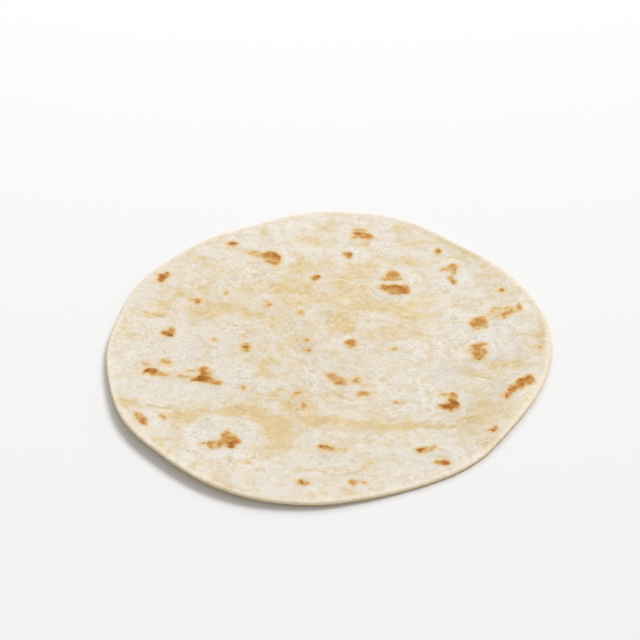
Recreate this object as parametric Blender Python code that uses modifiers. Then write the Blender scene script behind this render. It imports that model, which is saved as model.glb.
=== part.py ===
"""Wheat tortilla: one thin, nearly round, soft flatbread lying flat.

Metres, +Z up. The middle of the underside is flat and rests on z = 0, and the
origin is the centre of the bounding box's base. +Y points to the far edge.

A disc is turned from its section, then every point is moved by functions: the
outline's slow lobes, the rim's gentle lifts off the surface, and the low
steam blisters of the upper face.
"""

import math

import bmesh
import bpy

# ---------------------------------------------------------------- sizes
MEAN_RADIUS = 0.1000      # an eight inch tortilla
THICKNESS = 0.0020        # in the middle
EDGE_THICKNESS = 0.0016   # where the lip starts to round over
THIN_FROM = 0.0700        # radius where the sheet starts to thin to its edge
REST_RADIUS = 0.0480      # flat middle of the underside
AROUND = 120              # steps of the turned section
TOP_RING_STEP = 0.0060    # spacing of the rings of the upper face
LIP_STEPS = 5             # rings over the rounded lip

# How far the edge is out of round: (lobes around, size, direction in degrees).
LOBES = (
    (2, 0.00243, 72.0),
    (3, 0.00098, 0.0),
    (4, 0.00068, -12.0),
    (5, 0.00069, 55.0),
    (6, 0.00073, 91.0),
    (7, 0.00024, -4.0),
    (8, 0.00023, -80.0),
    (10, 0.00016, -95.0),
    (12, 0.00026, 58.0),
    (13, 0.00021, 167.0),
)

# Where the rim lifts off the surface: (height at the rim, direction in
# degrees, narrowness).
LIFTS = (
    (0.0036, 222.0, 3.0),
    (0.0009, 336.0, 9.0),
    (0.0009, 80.0, 6.0),
    (0.0009, 150.0, 16.0),
    (0.0005, 18.0, 20.0),
)
LIFT_CURVE = 1.8          # how late the sheet bends up towards its rim

# Low blisters on the upper face, measured from the origin: (x, y, radius along
# x, radius along y, height).
BLISTERS = (
    (-0.0450, -0.0565, 0.0200, 0.0160, 0.00045),
    (0.0305, 0.0448, 0.0125, 0.0125, 0.00040),
    (0.0468, -0.0705, 0.0120, 0.0130, 0.00030),
    (0.0587, 0.0566, 0.0085, 0.0090, 0.00030),
    (0.0679, -0.0036, 0.0085, 0.0095, 0.00030),
    (-0.0807, -0.0431, 0.0110, 0.0090, 0.00025),
    (0.0520, -0.0367, 0.0100, 0.0100, 0.00025),
    (0.0063, -0.0229, 0.0150, 0.0090, 0.00025),
)


# ------------------------------------------------------------ the section
def thickness(radius):
    """The sheet thins slowly to its edge."""
    share = min(max((radius - THIN_FROM) / (MEAN_RADIUS - THIN_FROM), 0.0), 1.0)
    return THICKNESS + (EDGE_THICKNESS - THICKNESS) * share * share * (3.0 - 2.0 * share)


def section():
    """Half of the section, from the middle of the upper face over the lip to
    the middle of the underside."""
    lip = EDGE_THICKNESS / 2.0
    lip_start = MEAN_RADIUS - lip
    rings = int(round((lip_start - 0.002) / TOP_RING_STEP))
    points = []
    for i in range(rings + 1):
        radius = (lip_start - 0.002) * i / rings
        points.append((radius, thickness(radius)))
    for i in range(LIP_STEPS + 1):
        turn = math.radians(90.0 - 180.0 * i / LIP_STEPS)
        points.append((lip_start + lip * math.cos(turn), lip + lip * math.sin(turn)))
    rings = 8
    for i in range(rings + 1):
        radius = lip_start - 0.002 - (lip_start - 0.002 - REST_RADIUS) * i / rings
        points.append((radius, 0.0))
    points.append((0.0, 0.0))
    return points


# --------------------------------------------------- functions of the shape
def edge_radius(angle):
    """Radius of the outline in this direction."""
    return MEAN_RADIUS + sum(
        size * math.cos(count * angle - math.radians(direction))
        for count, size, direction in LOBES
    )


def rim_lift(angle):
    """Height of the rim's underside above the surface in this direction."""
    return sum(
        height * math.exp(narrow * (math.cos(angle - math.radians(direction)) - 1.0))
        for height, direction, narrow in LIFTS
    )


def lift(radius, angle):
    """Height of the underside above the surface: none over the flat middle."""
    share = (radius - REST_RADIUS) / (MEAN_RADIUS - REST_RADIUS)
    return rim_lift(angle) * max(share, 0.0) ** LIFT_CURVE


def blister(x, y):
    """Height of the low blisters at a point of the upper face."""
    height = 0.0
    for centre_x, centre_y, radius_x, radius_y, top in BLISTERS:
        far = ((x - centre_x) / radius_x) ** 2 + ((y - centre_y) / radius_y) ** 2
        if far < 1.0:
            height += top * (1.0 - far) ** 2
    return height


def shaped(x, y, z):
    """Where a point of the turned disc lies before its blisters rise."""
    radius = math.hypot(x, y)
    if radius < 1e-9:
        return x, y, z
    angle = math.atan2(y, x)
    share = radius / MEAN_RADIUS
    stretch = 1.0 + (edge_radius(angle) / MEAN_RADIUS - 1.0) * min(share, 1.0) ** 2
    return x * stretch, y * stretch, z + lift(radius, angle)


# ------------------------------------------------------------------ build
for old in list(bpy.data.objects):
    bpy.data.objects.remove(old, do_unlink=True)

collection = bpy.data.collections.new("tortilla")
bpy.context.scene.collection.children.link(collection)

# The section, as a line of edges in the XZ plane.
profile = bpy.data.meshes.new("tortilla_section")
line = section()
profile.from_pydata(
    [(radius, 0.0, height) for radius, height in line],
    [(i, i + 1) for i in range(len(line) - 1)],
    [],
)
tortilla = bpy.data.objects.new("tortilla", profile)
collection.objects.link(tortilla)

turn = tortilla.modifiers.new("turn", "SCREW")
turn.axis = "Z"
turn.angle = math.tau
turn.screw_offset = 0.0
turn.steps = AROUND
turn.render_steps = AROUND
turn.use_merge_vertices = True
turn.merge_threshold = 0.00001

bpy.context.view_layer.update()
turned = bpy.data.meshes.new_from_object(
    tortilla.evaluated_get(bpy.context.evaluated_depsgraph_get())
)
tortilla.modifiers.remove(turn)
tortilla.data = turned
turned.name = "tortilla"
bpy.data.meshes.remove(profile)

shape = bmesh.new()
shape.from_mesh(turned)
# 1 on the upper face, 0 on the underside, between them on the lip.
upper = {
    point: min(point.co.z / thickness(math.hypot(point.co.x, point.co.y)), 1.0)
    for point in shape.verts
}
for point in shape.verts:
    point.co = shaped(*point.co)
# The centre of the bounding box's base becomes the origin.
for axis in (0, 1):
    low = min(point.co[axis] for point in shape.verts)
    high = max(point.co[axis] for point in shape.verts)
    for point in shape.verts:
        point.co[axis] -= (low + high) / 2.0
for point in shape.verts:
    point.co.z += upper[point] * blister(point.co.x, point.co.y)
shape.to_mesh(turned)
shape.free()
turned.shade_smooth()
turned.set_sharp_from_angle(angle=math.radians(60.0))

# --------------------------------------------------------------- material
dough = bpy.data.materials.new("toasted_dough")
dough.use_nodes = True
surface = dough.node_tree.nodes["Principled BSDF"]
surface.inputs["Base Color"].default_value = (0.80, 0.69, 0.51, 1.0)
surface.inputs["Roughness"].default_value = 0.85
surface.inputs["Metallic"].default_value = 0.0
dough.diffuse_color = (0.80, 0.69, 0.51, 1.0)
turned.materials.clear()
turned.materials.append(dough)
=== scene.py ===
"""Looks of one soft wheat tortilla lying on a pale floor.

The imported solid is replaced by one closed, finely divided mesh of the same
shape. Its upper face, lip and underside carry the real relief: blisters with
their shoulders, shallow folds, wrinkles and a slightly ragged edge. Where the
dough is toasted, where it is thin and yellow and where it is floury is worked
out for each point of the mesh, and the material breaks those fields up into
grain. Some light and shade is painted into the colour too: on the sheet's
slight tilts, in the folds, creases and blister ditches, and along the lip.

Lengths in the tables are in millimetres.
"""

import math

import bpy
import numpy as np
from mathutils import Matrix, Vector


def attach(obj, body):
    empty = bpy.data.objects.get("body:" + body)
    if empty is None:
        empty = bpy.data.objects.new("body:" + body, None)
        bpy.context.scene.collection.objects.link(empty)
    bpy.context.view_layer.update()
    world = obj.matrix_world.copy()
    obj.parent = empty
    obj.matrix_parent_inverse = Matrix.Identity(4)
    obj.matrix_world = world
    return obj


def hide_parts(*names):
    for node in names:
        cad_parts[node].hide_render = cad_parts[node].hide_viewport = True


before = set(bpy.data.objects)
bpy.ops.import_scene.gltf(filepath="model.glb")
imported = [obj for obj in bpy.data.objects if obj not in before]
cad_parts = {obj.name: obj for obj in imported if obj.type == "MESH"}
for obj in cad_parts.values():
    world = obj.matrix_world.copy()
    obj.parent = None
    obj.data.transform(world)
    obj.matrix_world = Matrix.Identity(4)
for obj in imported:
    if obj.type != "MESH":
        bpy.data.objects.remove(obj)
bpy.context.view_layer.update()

# ------------------------------------------------------------- the sheet
MEAN_RADIUS = 100.0
THICKNESS = 2.0
EDGE_THICKNESS = 1.6
THIN_FROM = 70.0
REST_RADIUS = 48.0
LOBES = (
    (2, 2.43, 72.0), (3, 0.98, 0.0), (4, 0.68, -12.0), (5, 0.69, 55.0), (6, 0.73, 91.0),
    (7, 0.24, -4.0), (8, 0.23, -80.0), (10, 0.16, -95.0), (12, 0.26, 58.0), (13, 0.21, 167.0),
)
LIFTS = (
    (3.6, 222.0, 3.0), (0.9, 336.0, 9.0), (0.9, 80.0, 6.0), (0.9, 150.0, 16.0), (0.5, 18.0, 20.0),
)
LIFT_CURVE = 1.8
BLISTERS = (
    (-45.0, -56.5, 20.0, 16.0, 0.45), (30.5, 44.8, 12.5, 12.5, 0.40), (46.8, -70.5, 12.0, 13.0, 0.30),
    (58.7, 56.6, 8.5, 9.0, 0.30), (67.9, -3.6, 8.5, 9.5, 0.30), (-80.7, -43.1, 11.0, 9.0, 0.25),
    (52.0, -36.7, 10.0, 10.0, 0.25), (6.3, -22.9, 15.0, 9.0, 0.25),
)

# ------------------------------------------------------- toast, yellow, flour
# Each entry is one rounded patch: (x, y, half length, half width, angle in
# degrees, strength). Patches that touch make one spot with a darker heart.
TOAST = (
    (-46.2, 75.6, 1.8, 1.8, -26, 0.76), (-47.8, 75.1, 1.4, 0.7, -88, 0.55), (-27.4, 66.3, 3.7, 3.1, -20, 0.78),
    (-26.0, 62.7, 3.8, 2.5, -89, 0.62), (-26.5, 64.4, 2.9, 2.2, -1, 0.74), (-30.3, 66.3, 2.5, 2.4, -75, 0.7),
    (-33.4, 67.0, 2.7, 2.1, -25, 0.42), (-36.6, 68.6, 2.4, 2.0, -33, 0.45), (-39.7, 70.5, 2.4, 0.9, -32, 0.15),
    (-28.4, 63.3, 2.4, 2.2, -5, 0.4), (-79.3, 49.1, 3.1, 2.1, 86, 0.76), (-77.2, 51.5, 2.2, 1.4, 63, 0.65),
    (-61.9, 33.1, 2.1, 1.7, -77, 0.57), (-64.1, 33.9, 1.2, 0.7, 1, 0.5), (-48.5, 39.0, 1.8, 1.0, -88, 0.42),
    (-29.8, 33.5, 1.2, 1.2, -79, 0.3), (-28.8, 30.8, 1.6, 1.5, -5, 0.57), (-30.2, 29.1, 1.1, 0.7, -88, 0.18),
    (-13.8, 25.2, 1.8, 1.5, -21, 0.46), (-72.9, 11.3, 2.7, 1.8, 87, 0.6), (-75.6, 10.2, 2.5, 1.6, 1, 0.82),
    (-73.5, 9.2, 2.0, 1.4, 25, 0.88), (-90.6, 8.6, 1.5, 1.1, 3, 0.2), (-53.3, 6.0, 1.2, 0.8, -36, 0.5),
    (-54.1, 5.8, 1.9, 0.9, -33, 0.22), (-38.2, 1.1, 2.1, 1.4, -1, 0.74), (-38.1, -0.9, 1.7, 1.6, -75, 0.62),
    (-38.6, 3.1, 1.5, 1.1, -2, 0.48), (-39.2, 7.6, 1.8, 1.7, -11, 0.1), (-5.6, 51.0, 1.7, 1.4, 41, 0.72),
    (-6.9, 49.5, 1.8, 1.5, 33, 0.68), (9.3, 66.5, 2.1, 1.8, 89, 0.84), (7.7, 67.5, 1.3, 1.1, 89, 0.58),
    (15.0, 85.5, 3.1, 0.8, 0, 0.56), (14.0, 82.7, 2.7, 1.4, 0, 0.8), (17.6, 80.5, 3.9, 2.0, -6, 0.58),
    (12.1, 80.3, 1.6, 1.1, 46, 0.58), (16.2, 81.9, 3.4, 1.3, -9, 0.68), (18.0, 74.7, 2.2, 1.1, 89, 0.24),
    (51.7, 69.7, 2.2, 1.7, -88, 0.68), (-1.8, -65.4, 2.8, 1.9, -8, 0.68), (0.1, -66.1, 1.7, 1.4, -27, 0.5),
    (-4.1, -65.0, 1.2, 1.0, 88, 0.85), (3.8, -66.1, 2.2, 0.9, 0, 0.3), (6.7, -66.4, 1.2, 1.0, 2, 0.36),
    (-0.6, -63.6, 1.3, 0.8, 1, 0.28), (39.9, -66.8, 2.2, 1.3, 15, 0.82), (43.5, -66.2, 2.3, 1.1, 20, 0.6),
    (45.4, -65.4, 1.3, 0.8, 0, 0.42), (47.8, -66.4, 1.6, 0.5, -27, 0.18), (41.7, -67.4, 1.8, 0.8, 16, 0.38),
    (48.5, -74.8, 2.4, 1.3, 0, 0.7), (50.3, -75.1, 1.5, 1.3, -44, 0.82), (46.0, -74.4, 1.1, 0.7, 1, 0.48),
    (17.1, -75.0, 1.3, 0.8, -5, 0.4), (-12.3, -87.0, 1.6, 1.2, -86, 0.72), (-10.4, -87.9, 1.4, 1.1, -11, 0.54),
    (-13.5, -87.3, 1.1, 0.9, 87, 0.48), (9.6, -87.0, 1.9, 1.5, 87, 0.49), (12.2, -86.8, 1.8, 1.1, 1, 0.26),
    (14.5, -86.9, 1.0, 0.8, 3, 0.44), (20.4, -87.0, 1.1, 0.7, 2, 0.12), (71.6, -54.4, 1.2, 1.2, 66, 0.86),
    (70.5, -54.2, 0.9, 0.6, 21, 0.42), (72.7, -52.5, 1.0, 0.7, 85, 0.55), (62.8, -54.2, 1.1, 0.9, 1, 0.2),
    (63.9, -62.9, 1.0, 0.9, 6, 0.12), (-35.5, -75.4, 1.2, 0.6, 3, 0.28), (-58.9, -78.1, 0.8, 0.7, 13, 0.3),
    (30.2, 51.6, 3.7, 2.5, 88, 0.52), (27.8, 50.7, 2.3, 1.4, 79, 0.54), (29.0, 48.7, 4.2, 1.6, -5, 0.44),
    (33.0, 48.9, 2.3, 1.4, -16, 0.35), (32.3, 50.9, 2.0, 1.3, -83, 0.41), (30.7, 41.2, 5.9, 3.2, -5, 0.65),
    (26.0, 42.9, 2.9, 1.9, -17, 0.52), (34.9, 41.3, 3.3, 2.6, 86, 0.68), (31.6, 39.1, 3.8, 1.2, 0, 0.7),
    (58.9, 57.5, 2.6, 1.7, 86, 0.48), (58.8, 53.7, 1.3, 1.2, 75, 0.45), (54.7, 55.9, 2.1, 1.7, 3, 0.38),
    (57.6, 56.7, 1.2, 1.2, 16, 0.42), (57.1, 50.1, 1.4, 1.1, -33, 0.3), (58.4, 47.0, 1.7, 1.3, -79, 0.58),
    (57.5, 48.5, 1.2, 0.8, -74, 0.38), (80.9, 41.1, 1.4, 1.3, 11, 0.58), (81.1, 39.8, 1.0, 0.9, 76, 0.35),
    (70.6, 31.2, 1.0, 0.8, 43, 0.3), (77.6, 28.3, 1.3, 1.2, 72, 0.43), (76.1, 25.5, 1.5, 1.5, 23, 0.35),
    (74.0, 24.4, 1.0, 1.0, 10, 0.25), (79.5, 26.8, 1.2, 1.1, 59, 0.37), (82.3, 27.5, 1.0, 0.9, 74, 0.37),
    (80.8, 23.6, 2.1, 1.5, 73, 0.51), (83.0, 24.7, 1.9, 1.4, 72, 0.49), (84.8, 26.6, 2.1, 1.4, 77, 0.59),
    (86.4, 27.0, 1.3, 1.1, 81, 0.28), (88.1, 28.0, 1.6, 1.1, 74, 0.65), (88.0, 31.3, 1.4, 0.9, -78, 0.28),
    (89.1, 29.1, 1.6, 0.6, 86, 0.23), (78.1, 22.6, 1.3, 1.1, 4, 0.31), (80.5, 21.1, 1.1, 1.0, 14, 0.35),
    (68.6, 17.4, 4.1, 3.5, 15, 0.63), (70.7, 19.8, 2.4, 2.1, -79, 0.6), (71.6, 14.5, 1.6, 1.6, 60, 0.28),
    (67.9, 14.4, 2.3, 1.4, 0, 0.46), (68.1, -3.5, 4.5, 3.5, 84, 0.57), (67.7, 1.4, 3.3, 1.6, 14, 0.55),
    (70.5, 2.4, 1.4, 0.7, 15, 0.75), (68.0, -6.3, 2.0, 1.7, 4, 0.62), (64.4, -1.5, 1.3, 1.1, 81, 0.36),
    (96.1, 0.5, 1.0, 0.8, 83, 0.38), (89.5, -21.7, 3.4, 2.4, 80, 0.71), (86.0, -23.5, 3.9, 2.4, 54, 0.68),
    (82.2, -26.9, 3.1, 2.0, 58, 0.74), (79.1, -32.5, 2.1, 1.3, 85, 0.75), (80.3, -29.6, 2.2, 1.1, 67, 0.68),
    (85.6, -26.3, 2.4, 1.0, 43, 0.58), (54.6, -32.7, 3.2, 1.6, 87, 0.64), (54.5, -35.4, 2.4, 1.9, 85, 0.78),
    (53.8, -41.5, 1.4, 1.3, 79, 0.7), (51.1, -31.4, 1.8, 1.7, 17, 0.3), (53.0, -39.3, 3.8, 2.0, -6, 0.86),
    (55.6, -37.5, 2.6, 1.9, -70, 0.86), (53.7, -40.3, 2.0, 1.4, 1, 0.85), (49.7, -38.8, 1.5, 0.9, 0, 0.72),
    (-82.6, -16.6, 2.6, 1.2, 45, 0.85), (-79.7, -16.6, 2.1, 2.0, -89, 0.85), (-79.4, -18.8, 1.6, 1.0, 4, 0.62),
    (-75.6, -18.4, 2.8, 1.4, -6, 0.56), (-83.3, -11.6, 1.8, 1.1, -26, 0.4), (-85.4, -10.5, 1.5, 0.7, -31, 0.22),
    (-74.7, -9.4, 2.4, 1.8, -12, 0.47), (-73.2, -10.9, 1.2, 1.0, -87, 0.28), (-87.3, -16.4, 0.7, 0.7, 12, 0.18),
    (-87.3, -10.2, 1.2, 0.6, -15, 0.1), (-57.2, -15.1, 2.3, 2.2, -83, 0.8), (-55.1, -16.8, 1.6, 1.3, 0, 0.48),
    (-56.9, -20.6, 4.1, 2.7, -7, 0.84), (-61.0, -21.4, 2.1, 1.5, 22, 0.6), (-52.0, -22.8, 3.3, 1.9, -22, 0.58),
    (-54.9, -21.8, 2.3, 1.3, -18, 0.6), (-65.8, -19.6, 4.1, 1.2, -2, 0.28), (-63.3, -15.5, 2.5, 0.8, 2, 0.3),
    (-56.4, -17.8, 1.8, 1.4, 1, 0.68), (-38.9, -26.3, 1.3, 1.2, -47, 0.44), (-84.9, -47.9, 2.7, 1.7, -63, 0.46),
    (-83.3, -49.3, 2.5, 1.6, -70, 0.62), (-82.4, -50.3, 2.6, 1.6, -74, 0.75),
    (-81.3, -51.9, 1.4, 0.9, -88, 0.58), (-73.9, -47.2, 2.0, 1.7, -48, 0.44),
    (-45.5, -58.7, 3.6, 2.1, -87, 0.54), (-45.2, -61.4, 2.9, 2.2, -90, 0.6),
    (-42.4, -59.6, 2.1, 1.4, -81, 0.52), (-43.4, -62.3, 3.6, 2.8, -24, 0.66),
    (-43.5, -64.3, 2.4, 2.1, 87, 0.88), (-40.8, -62.4, 1.8, 1.5, 24, 0.58), (-50.8, -64.9, 3.1, 2.5, 7, 0.52),
    (-47.3, -63.5, 2.4, 2.0, 49, 0.52), (-56.2, -64.4, 1.7, 1.1, 6, 0.38), (-53.7, -63.4, 1.3, 0.6, 4, 0.16),
    (-10.6, 5.7, 1.6, 1.4, 62, 0.68), (-9.6, -1.7, 1.1, 0.7, 11, 0.46), (-10.7, -1.0, 1.1, 0.5, -14, 0.26),
    (9.7, 3.6, 2.7, 2.0, -12, 0.58), (10.1, 1.7, 1.7, 1.6, 54, 0.52), (10.4, 5.4, 1.2, 1.1, 4, 0.38),
    (28.8, -0.1, 1.7, 1.1, 21, 0.3), (2.1, -20.4, 4.6, 2.6, -42, 0.45), (4.7, -22.8, 3.0, 2.2, -29, 0.62),
    (-1.6, -16.5, 2.3, 1.0, -39, 0.18), (6.7, -24.0, 1.5, 1.0, -43, 0.38), (12.1, -21.8, 2.1, 1.8, -20, 0.54),
    (17.9, -24.9, 2.5, 0.9, 0, 0.18), (15.1, -30.5, 3.0, 1.4, 4, 0.58), (11.8, -30.0, 1.6, 0.9, 0, 0.2),
    (5.8, -29.0, 2.2, 0.5, -8, 0.1), (-15.5, -30.3, 1.1, 0.9, 41, 0.56), (-13.7, -29.8, 1.4, 0.8, 23, 0.55),
    (-11.6, -39.1, 2.3, 2.0, -89, 0.4), (-10.6, -34.0, 0.7, 0.6, -87, 0.48),
    (-16.5, -33.1, 0.7, 0.6, -88, 0.42), (-10.3, -34.2, 0.7, 0.5, -89, 0.2), (29.9, -36.5, 1.4, 1.0, 2, 0.4),
    (32.2, -36.7, 1.2, 0.7, 1, 0.33), (-35.4, 11.8, 1.4, 1.4, -58, 0.12), (-35.3, 18.4, 1.2, 1.1, -19, 0.1),
)
# The darkest parts of the toasted spots.
HEARTS = (
    (-47.0, 75.5, 1.1, 0.9, -87, 0.42), (-44.9, 76.3, 0.9, 0.7, -87, 0.25), (-26.8, 67.9, 1.6, 1.2, -13, 0.9),
    (-29.8, 66.3, 1.2, 1.2, -36, 0.4), (-79.4, 49.1, 1.9, 1.3, 88, 0.34), (-78.7, 51.1, 0.8, 0.7, 3, 0.4),
    (-76.4, 52.6, 0.6, 0.4, 44, 0.4), (-62.3, 34.1, 1.2, 0.6, -16, 0.3), (-60.5, 32.0, 0.9, 0.4, -88, 0.2),
    (-28.4, 30.9, 0.7, 0.7, -85, 0.9), (-13.8, 25.5, 0.7, 0.6, -89, 0.65), (-76.1, 10.2, 1.7, 0.7, 2, 0.9),
    (-73.0, 9.3, 1.1, 1.0, -2, 0.65), (-74.5, 10.5, 1.4, 0.7, -87, 0.6), (-38.4, 1.3, 1.4, 0.7, 0, 0.08),
    (-7.5, 49.6, 0.9, 0.8, -1, 0.15), (-5.5, 51.5, 0.7, 0.7, -4, 0.5), (10.2, 66.1, 1.4, 0.8, 89, 0.95),
    (8.4, 67.0, 1.0, 0.9, 2, 0.3), (14.3, 82.7, 1.4, 0.7, 0, 0.45), (15.3, 85.5, 1.7, 0.4, 0, 0.35),
    (18.6, 80.6, 1.5, 0.7, -9, 0.25), (52.0, 69.2, 1.0, 0.8, 85, 0.5), (50.6, 69.1, 0.9, 0.5, 87, 0.3),
    (-4.1, -65.1, 0.8, 0.7, -33, 0.7), (-1.0, -65.3, 0.8, 0.6, -21, 0.3), (39.9, -66.5, 1.4, 0.7, 24, 0.6),
    (43.0, -65.5, 1.4, 0.5, 18, 0.35), (50.5, -75.2, 1.0, 0.7, 66, 0.6), (48.2, -74.5, 1.3, 0.7, 0, 0.4),
    (48.9, -73.3, 0.9, 0.5, 0, 0.3), (17.6, -75.1, 0.6, 0.4, 1, 0.3), (-12.4, -86.8, 1.1, 0.7, -86, 1.2),
    (-11.6, -88.6, 0.5, 0.4, 88, 0.4), (14.6, -86.9, 0.6, 0.6, 10, 0.35), (9.0, -88.2, 0.6, 0.4, 88, 0.3),
    (71.7, -54.7, 0.9, 0.8, 78, 1.5), (72.2, -53.2, 0.7, 0.4, 72, 0.5), (27.5, 52.1, 0.9, 0.6, 88, 0.35),
    (30.0, 53.0, 0.7, 0.7, 72, 0.12), (32.5, 39.3, 2.8, 0.9, 0, 0.38), (36.3, 41.3, 1.7, 0.6, 83, 0.6),
    (30.8, 44.4, 3.8, 0.5, -5, 0.3), (59.6, 58.9, 0.7, 0.7, 79, 0.3), (54.0, 56.0, 0.8, 0.7, 6, 0.3),
    (58.3, 46.8, 0.8, 0.7, 84, 0.35), (59.5, 52.7, 0.6, 0.5, 8, 0.3), (80.9, 41.4, 0.9, 0.7, 84, 0.6),
    (82.1, 41.9, 0.4, 0.4, 81, 0.3), (84.3, 26.9, 1.0, 0.6, 71, 0.65), (87.8, 27.9, 0.9, 0.6, 68, 0.75),
    (80.4, 24.0, 0.7, 0.5, 84, 0.5), (71.3, 18.7, 1.1, 0.7, 85, 0.8), (66.9, 17.8, 1.7, 0.9, 18, 0.35),
    (69.7, 17.5, 1.1, 0.5, 87, 0.3), (68.1, -1.9, 2.2, 0.5, 84, 1), (66.5, -5.7, 1.5, 0.6, 87, 0.95),
    (67.7, -7.3, 1.7, 0.8, 0, 0.95), (70.7, 2.5, 1.1, 0.5, 14, 0.8), (65.5, 1.9, 1.3, 0.6, 25, 0.6),
    (70.2, -3.3, 1.0, 0.5, 86, 0.4), (96.1, 0.6, 0.7, 0.5, 83, 0.9), (85.7, -25.0, 2.4, 0.7, 41, 0.6),
    (81.3, -28.1, 1.6, 0.8, 46, 0.6), (79.0, -32.4, 0.9, 0.6, 85, 0.5), (89.3, -19.5, 0.9, 0.6, 1, 0.4),
    (89.2, -23.6, 1.2, 0.4, -82, 0.5), (88.6, -21.7, 0.8, 0.7, 79, 0.3), (51.5, -39.0, 1.6, 0.8, 0, 0.55),
    (56.2, -36.7, 1.2, 0.8, -50, 0.65), (53.7, -40.3, 1.3, 0.8, 9, 0.6), (-82.6, -16.4, 1.5, 0.6, 43, 0.45),
    (-79.3, -16.7, 1.2, 1.1, -88, 0.65), (-74.4, -18.5, 0.9, 0.4, -6, 0.2), (-83.6, -11.5, 0.6, 0.4, 3, 0.15),
    (-57.5, -15.2, 1.4, 0.9, -87, 0.45), (-55.7, -14.9, 0.8, 0.5, -88, 0.3), (-55.7, -20.4, 3.0, 1.6, -4, 0.38),
    (-54.3, -21.1, 0.9, 0.8, -33, 0.4), (-82.7, -49.7, 1.3, 0.8, -69, 0.35), (-42.9, -63.1, 1.5, 1.2, -56, 0.8),
    (-43.4, -65.4, 1.1, 1.0, 86, 0.8), (-41.7, -62.2, 0.8, 0.6, 53, 0.5), (-56.5, -64.5, 0.6, 0.5, 8, 0.4),
    (-10.6, 5.6, 0.8, 0.7, -89, 0.9), (-9.2, -1.5, 0.6, 0.6, -3, 0.85), (9.4, 2.4, 1.3, 0.7, -18, 0.65),
    (7.5, 3.6, 0.6, 0.5, 60, 0.25), (30.0, 0.6, 0.6, 0.5, 84, 0.5), (-39.1, -26.2, 0.6, 0.6, -12, 0.45),
    (-53.4, 6.1, 0.7, 0.5, -42, 0.45), (3.1, -22.9, 1.0, 0.7, 0, 0.35), (4.5, -20.7, 0.9, 0.5, -18, 0.2),
    (15.2, -30.5, 1.1, 0.7, 0, 0.25), (-15.8, -30.4, 0.6, 0.5, -88, 0.55), (-13.4, -29.7, 0.6, 0.5, -2, 0.6),
)
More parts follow.
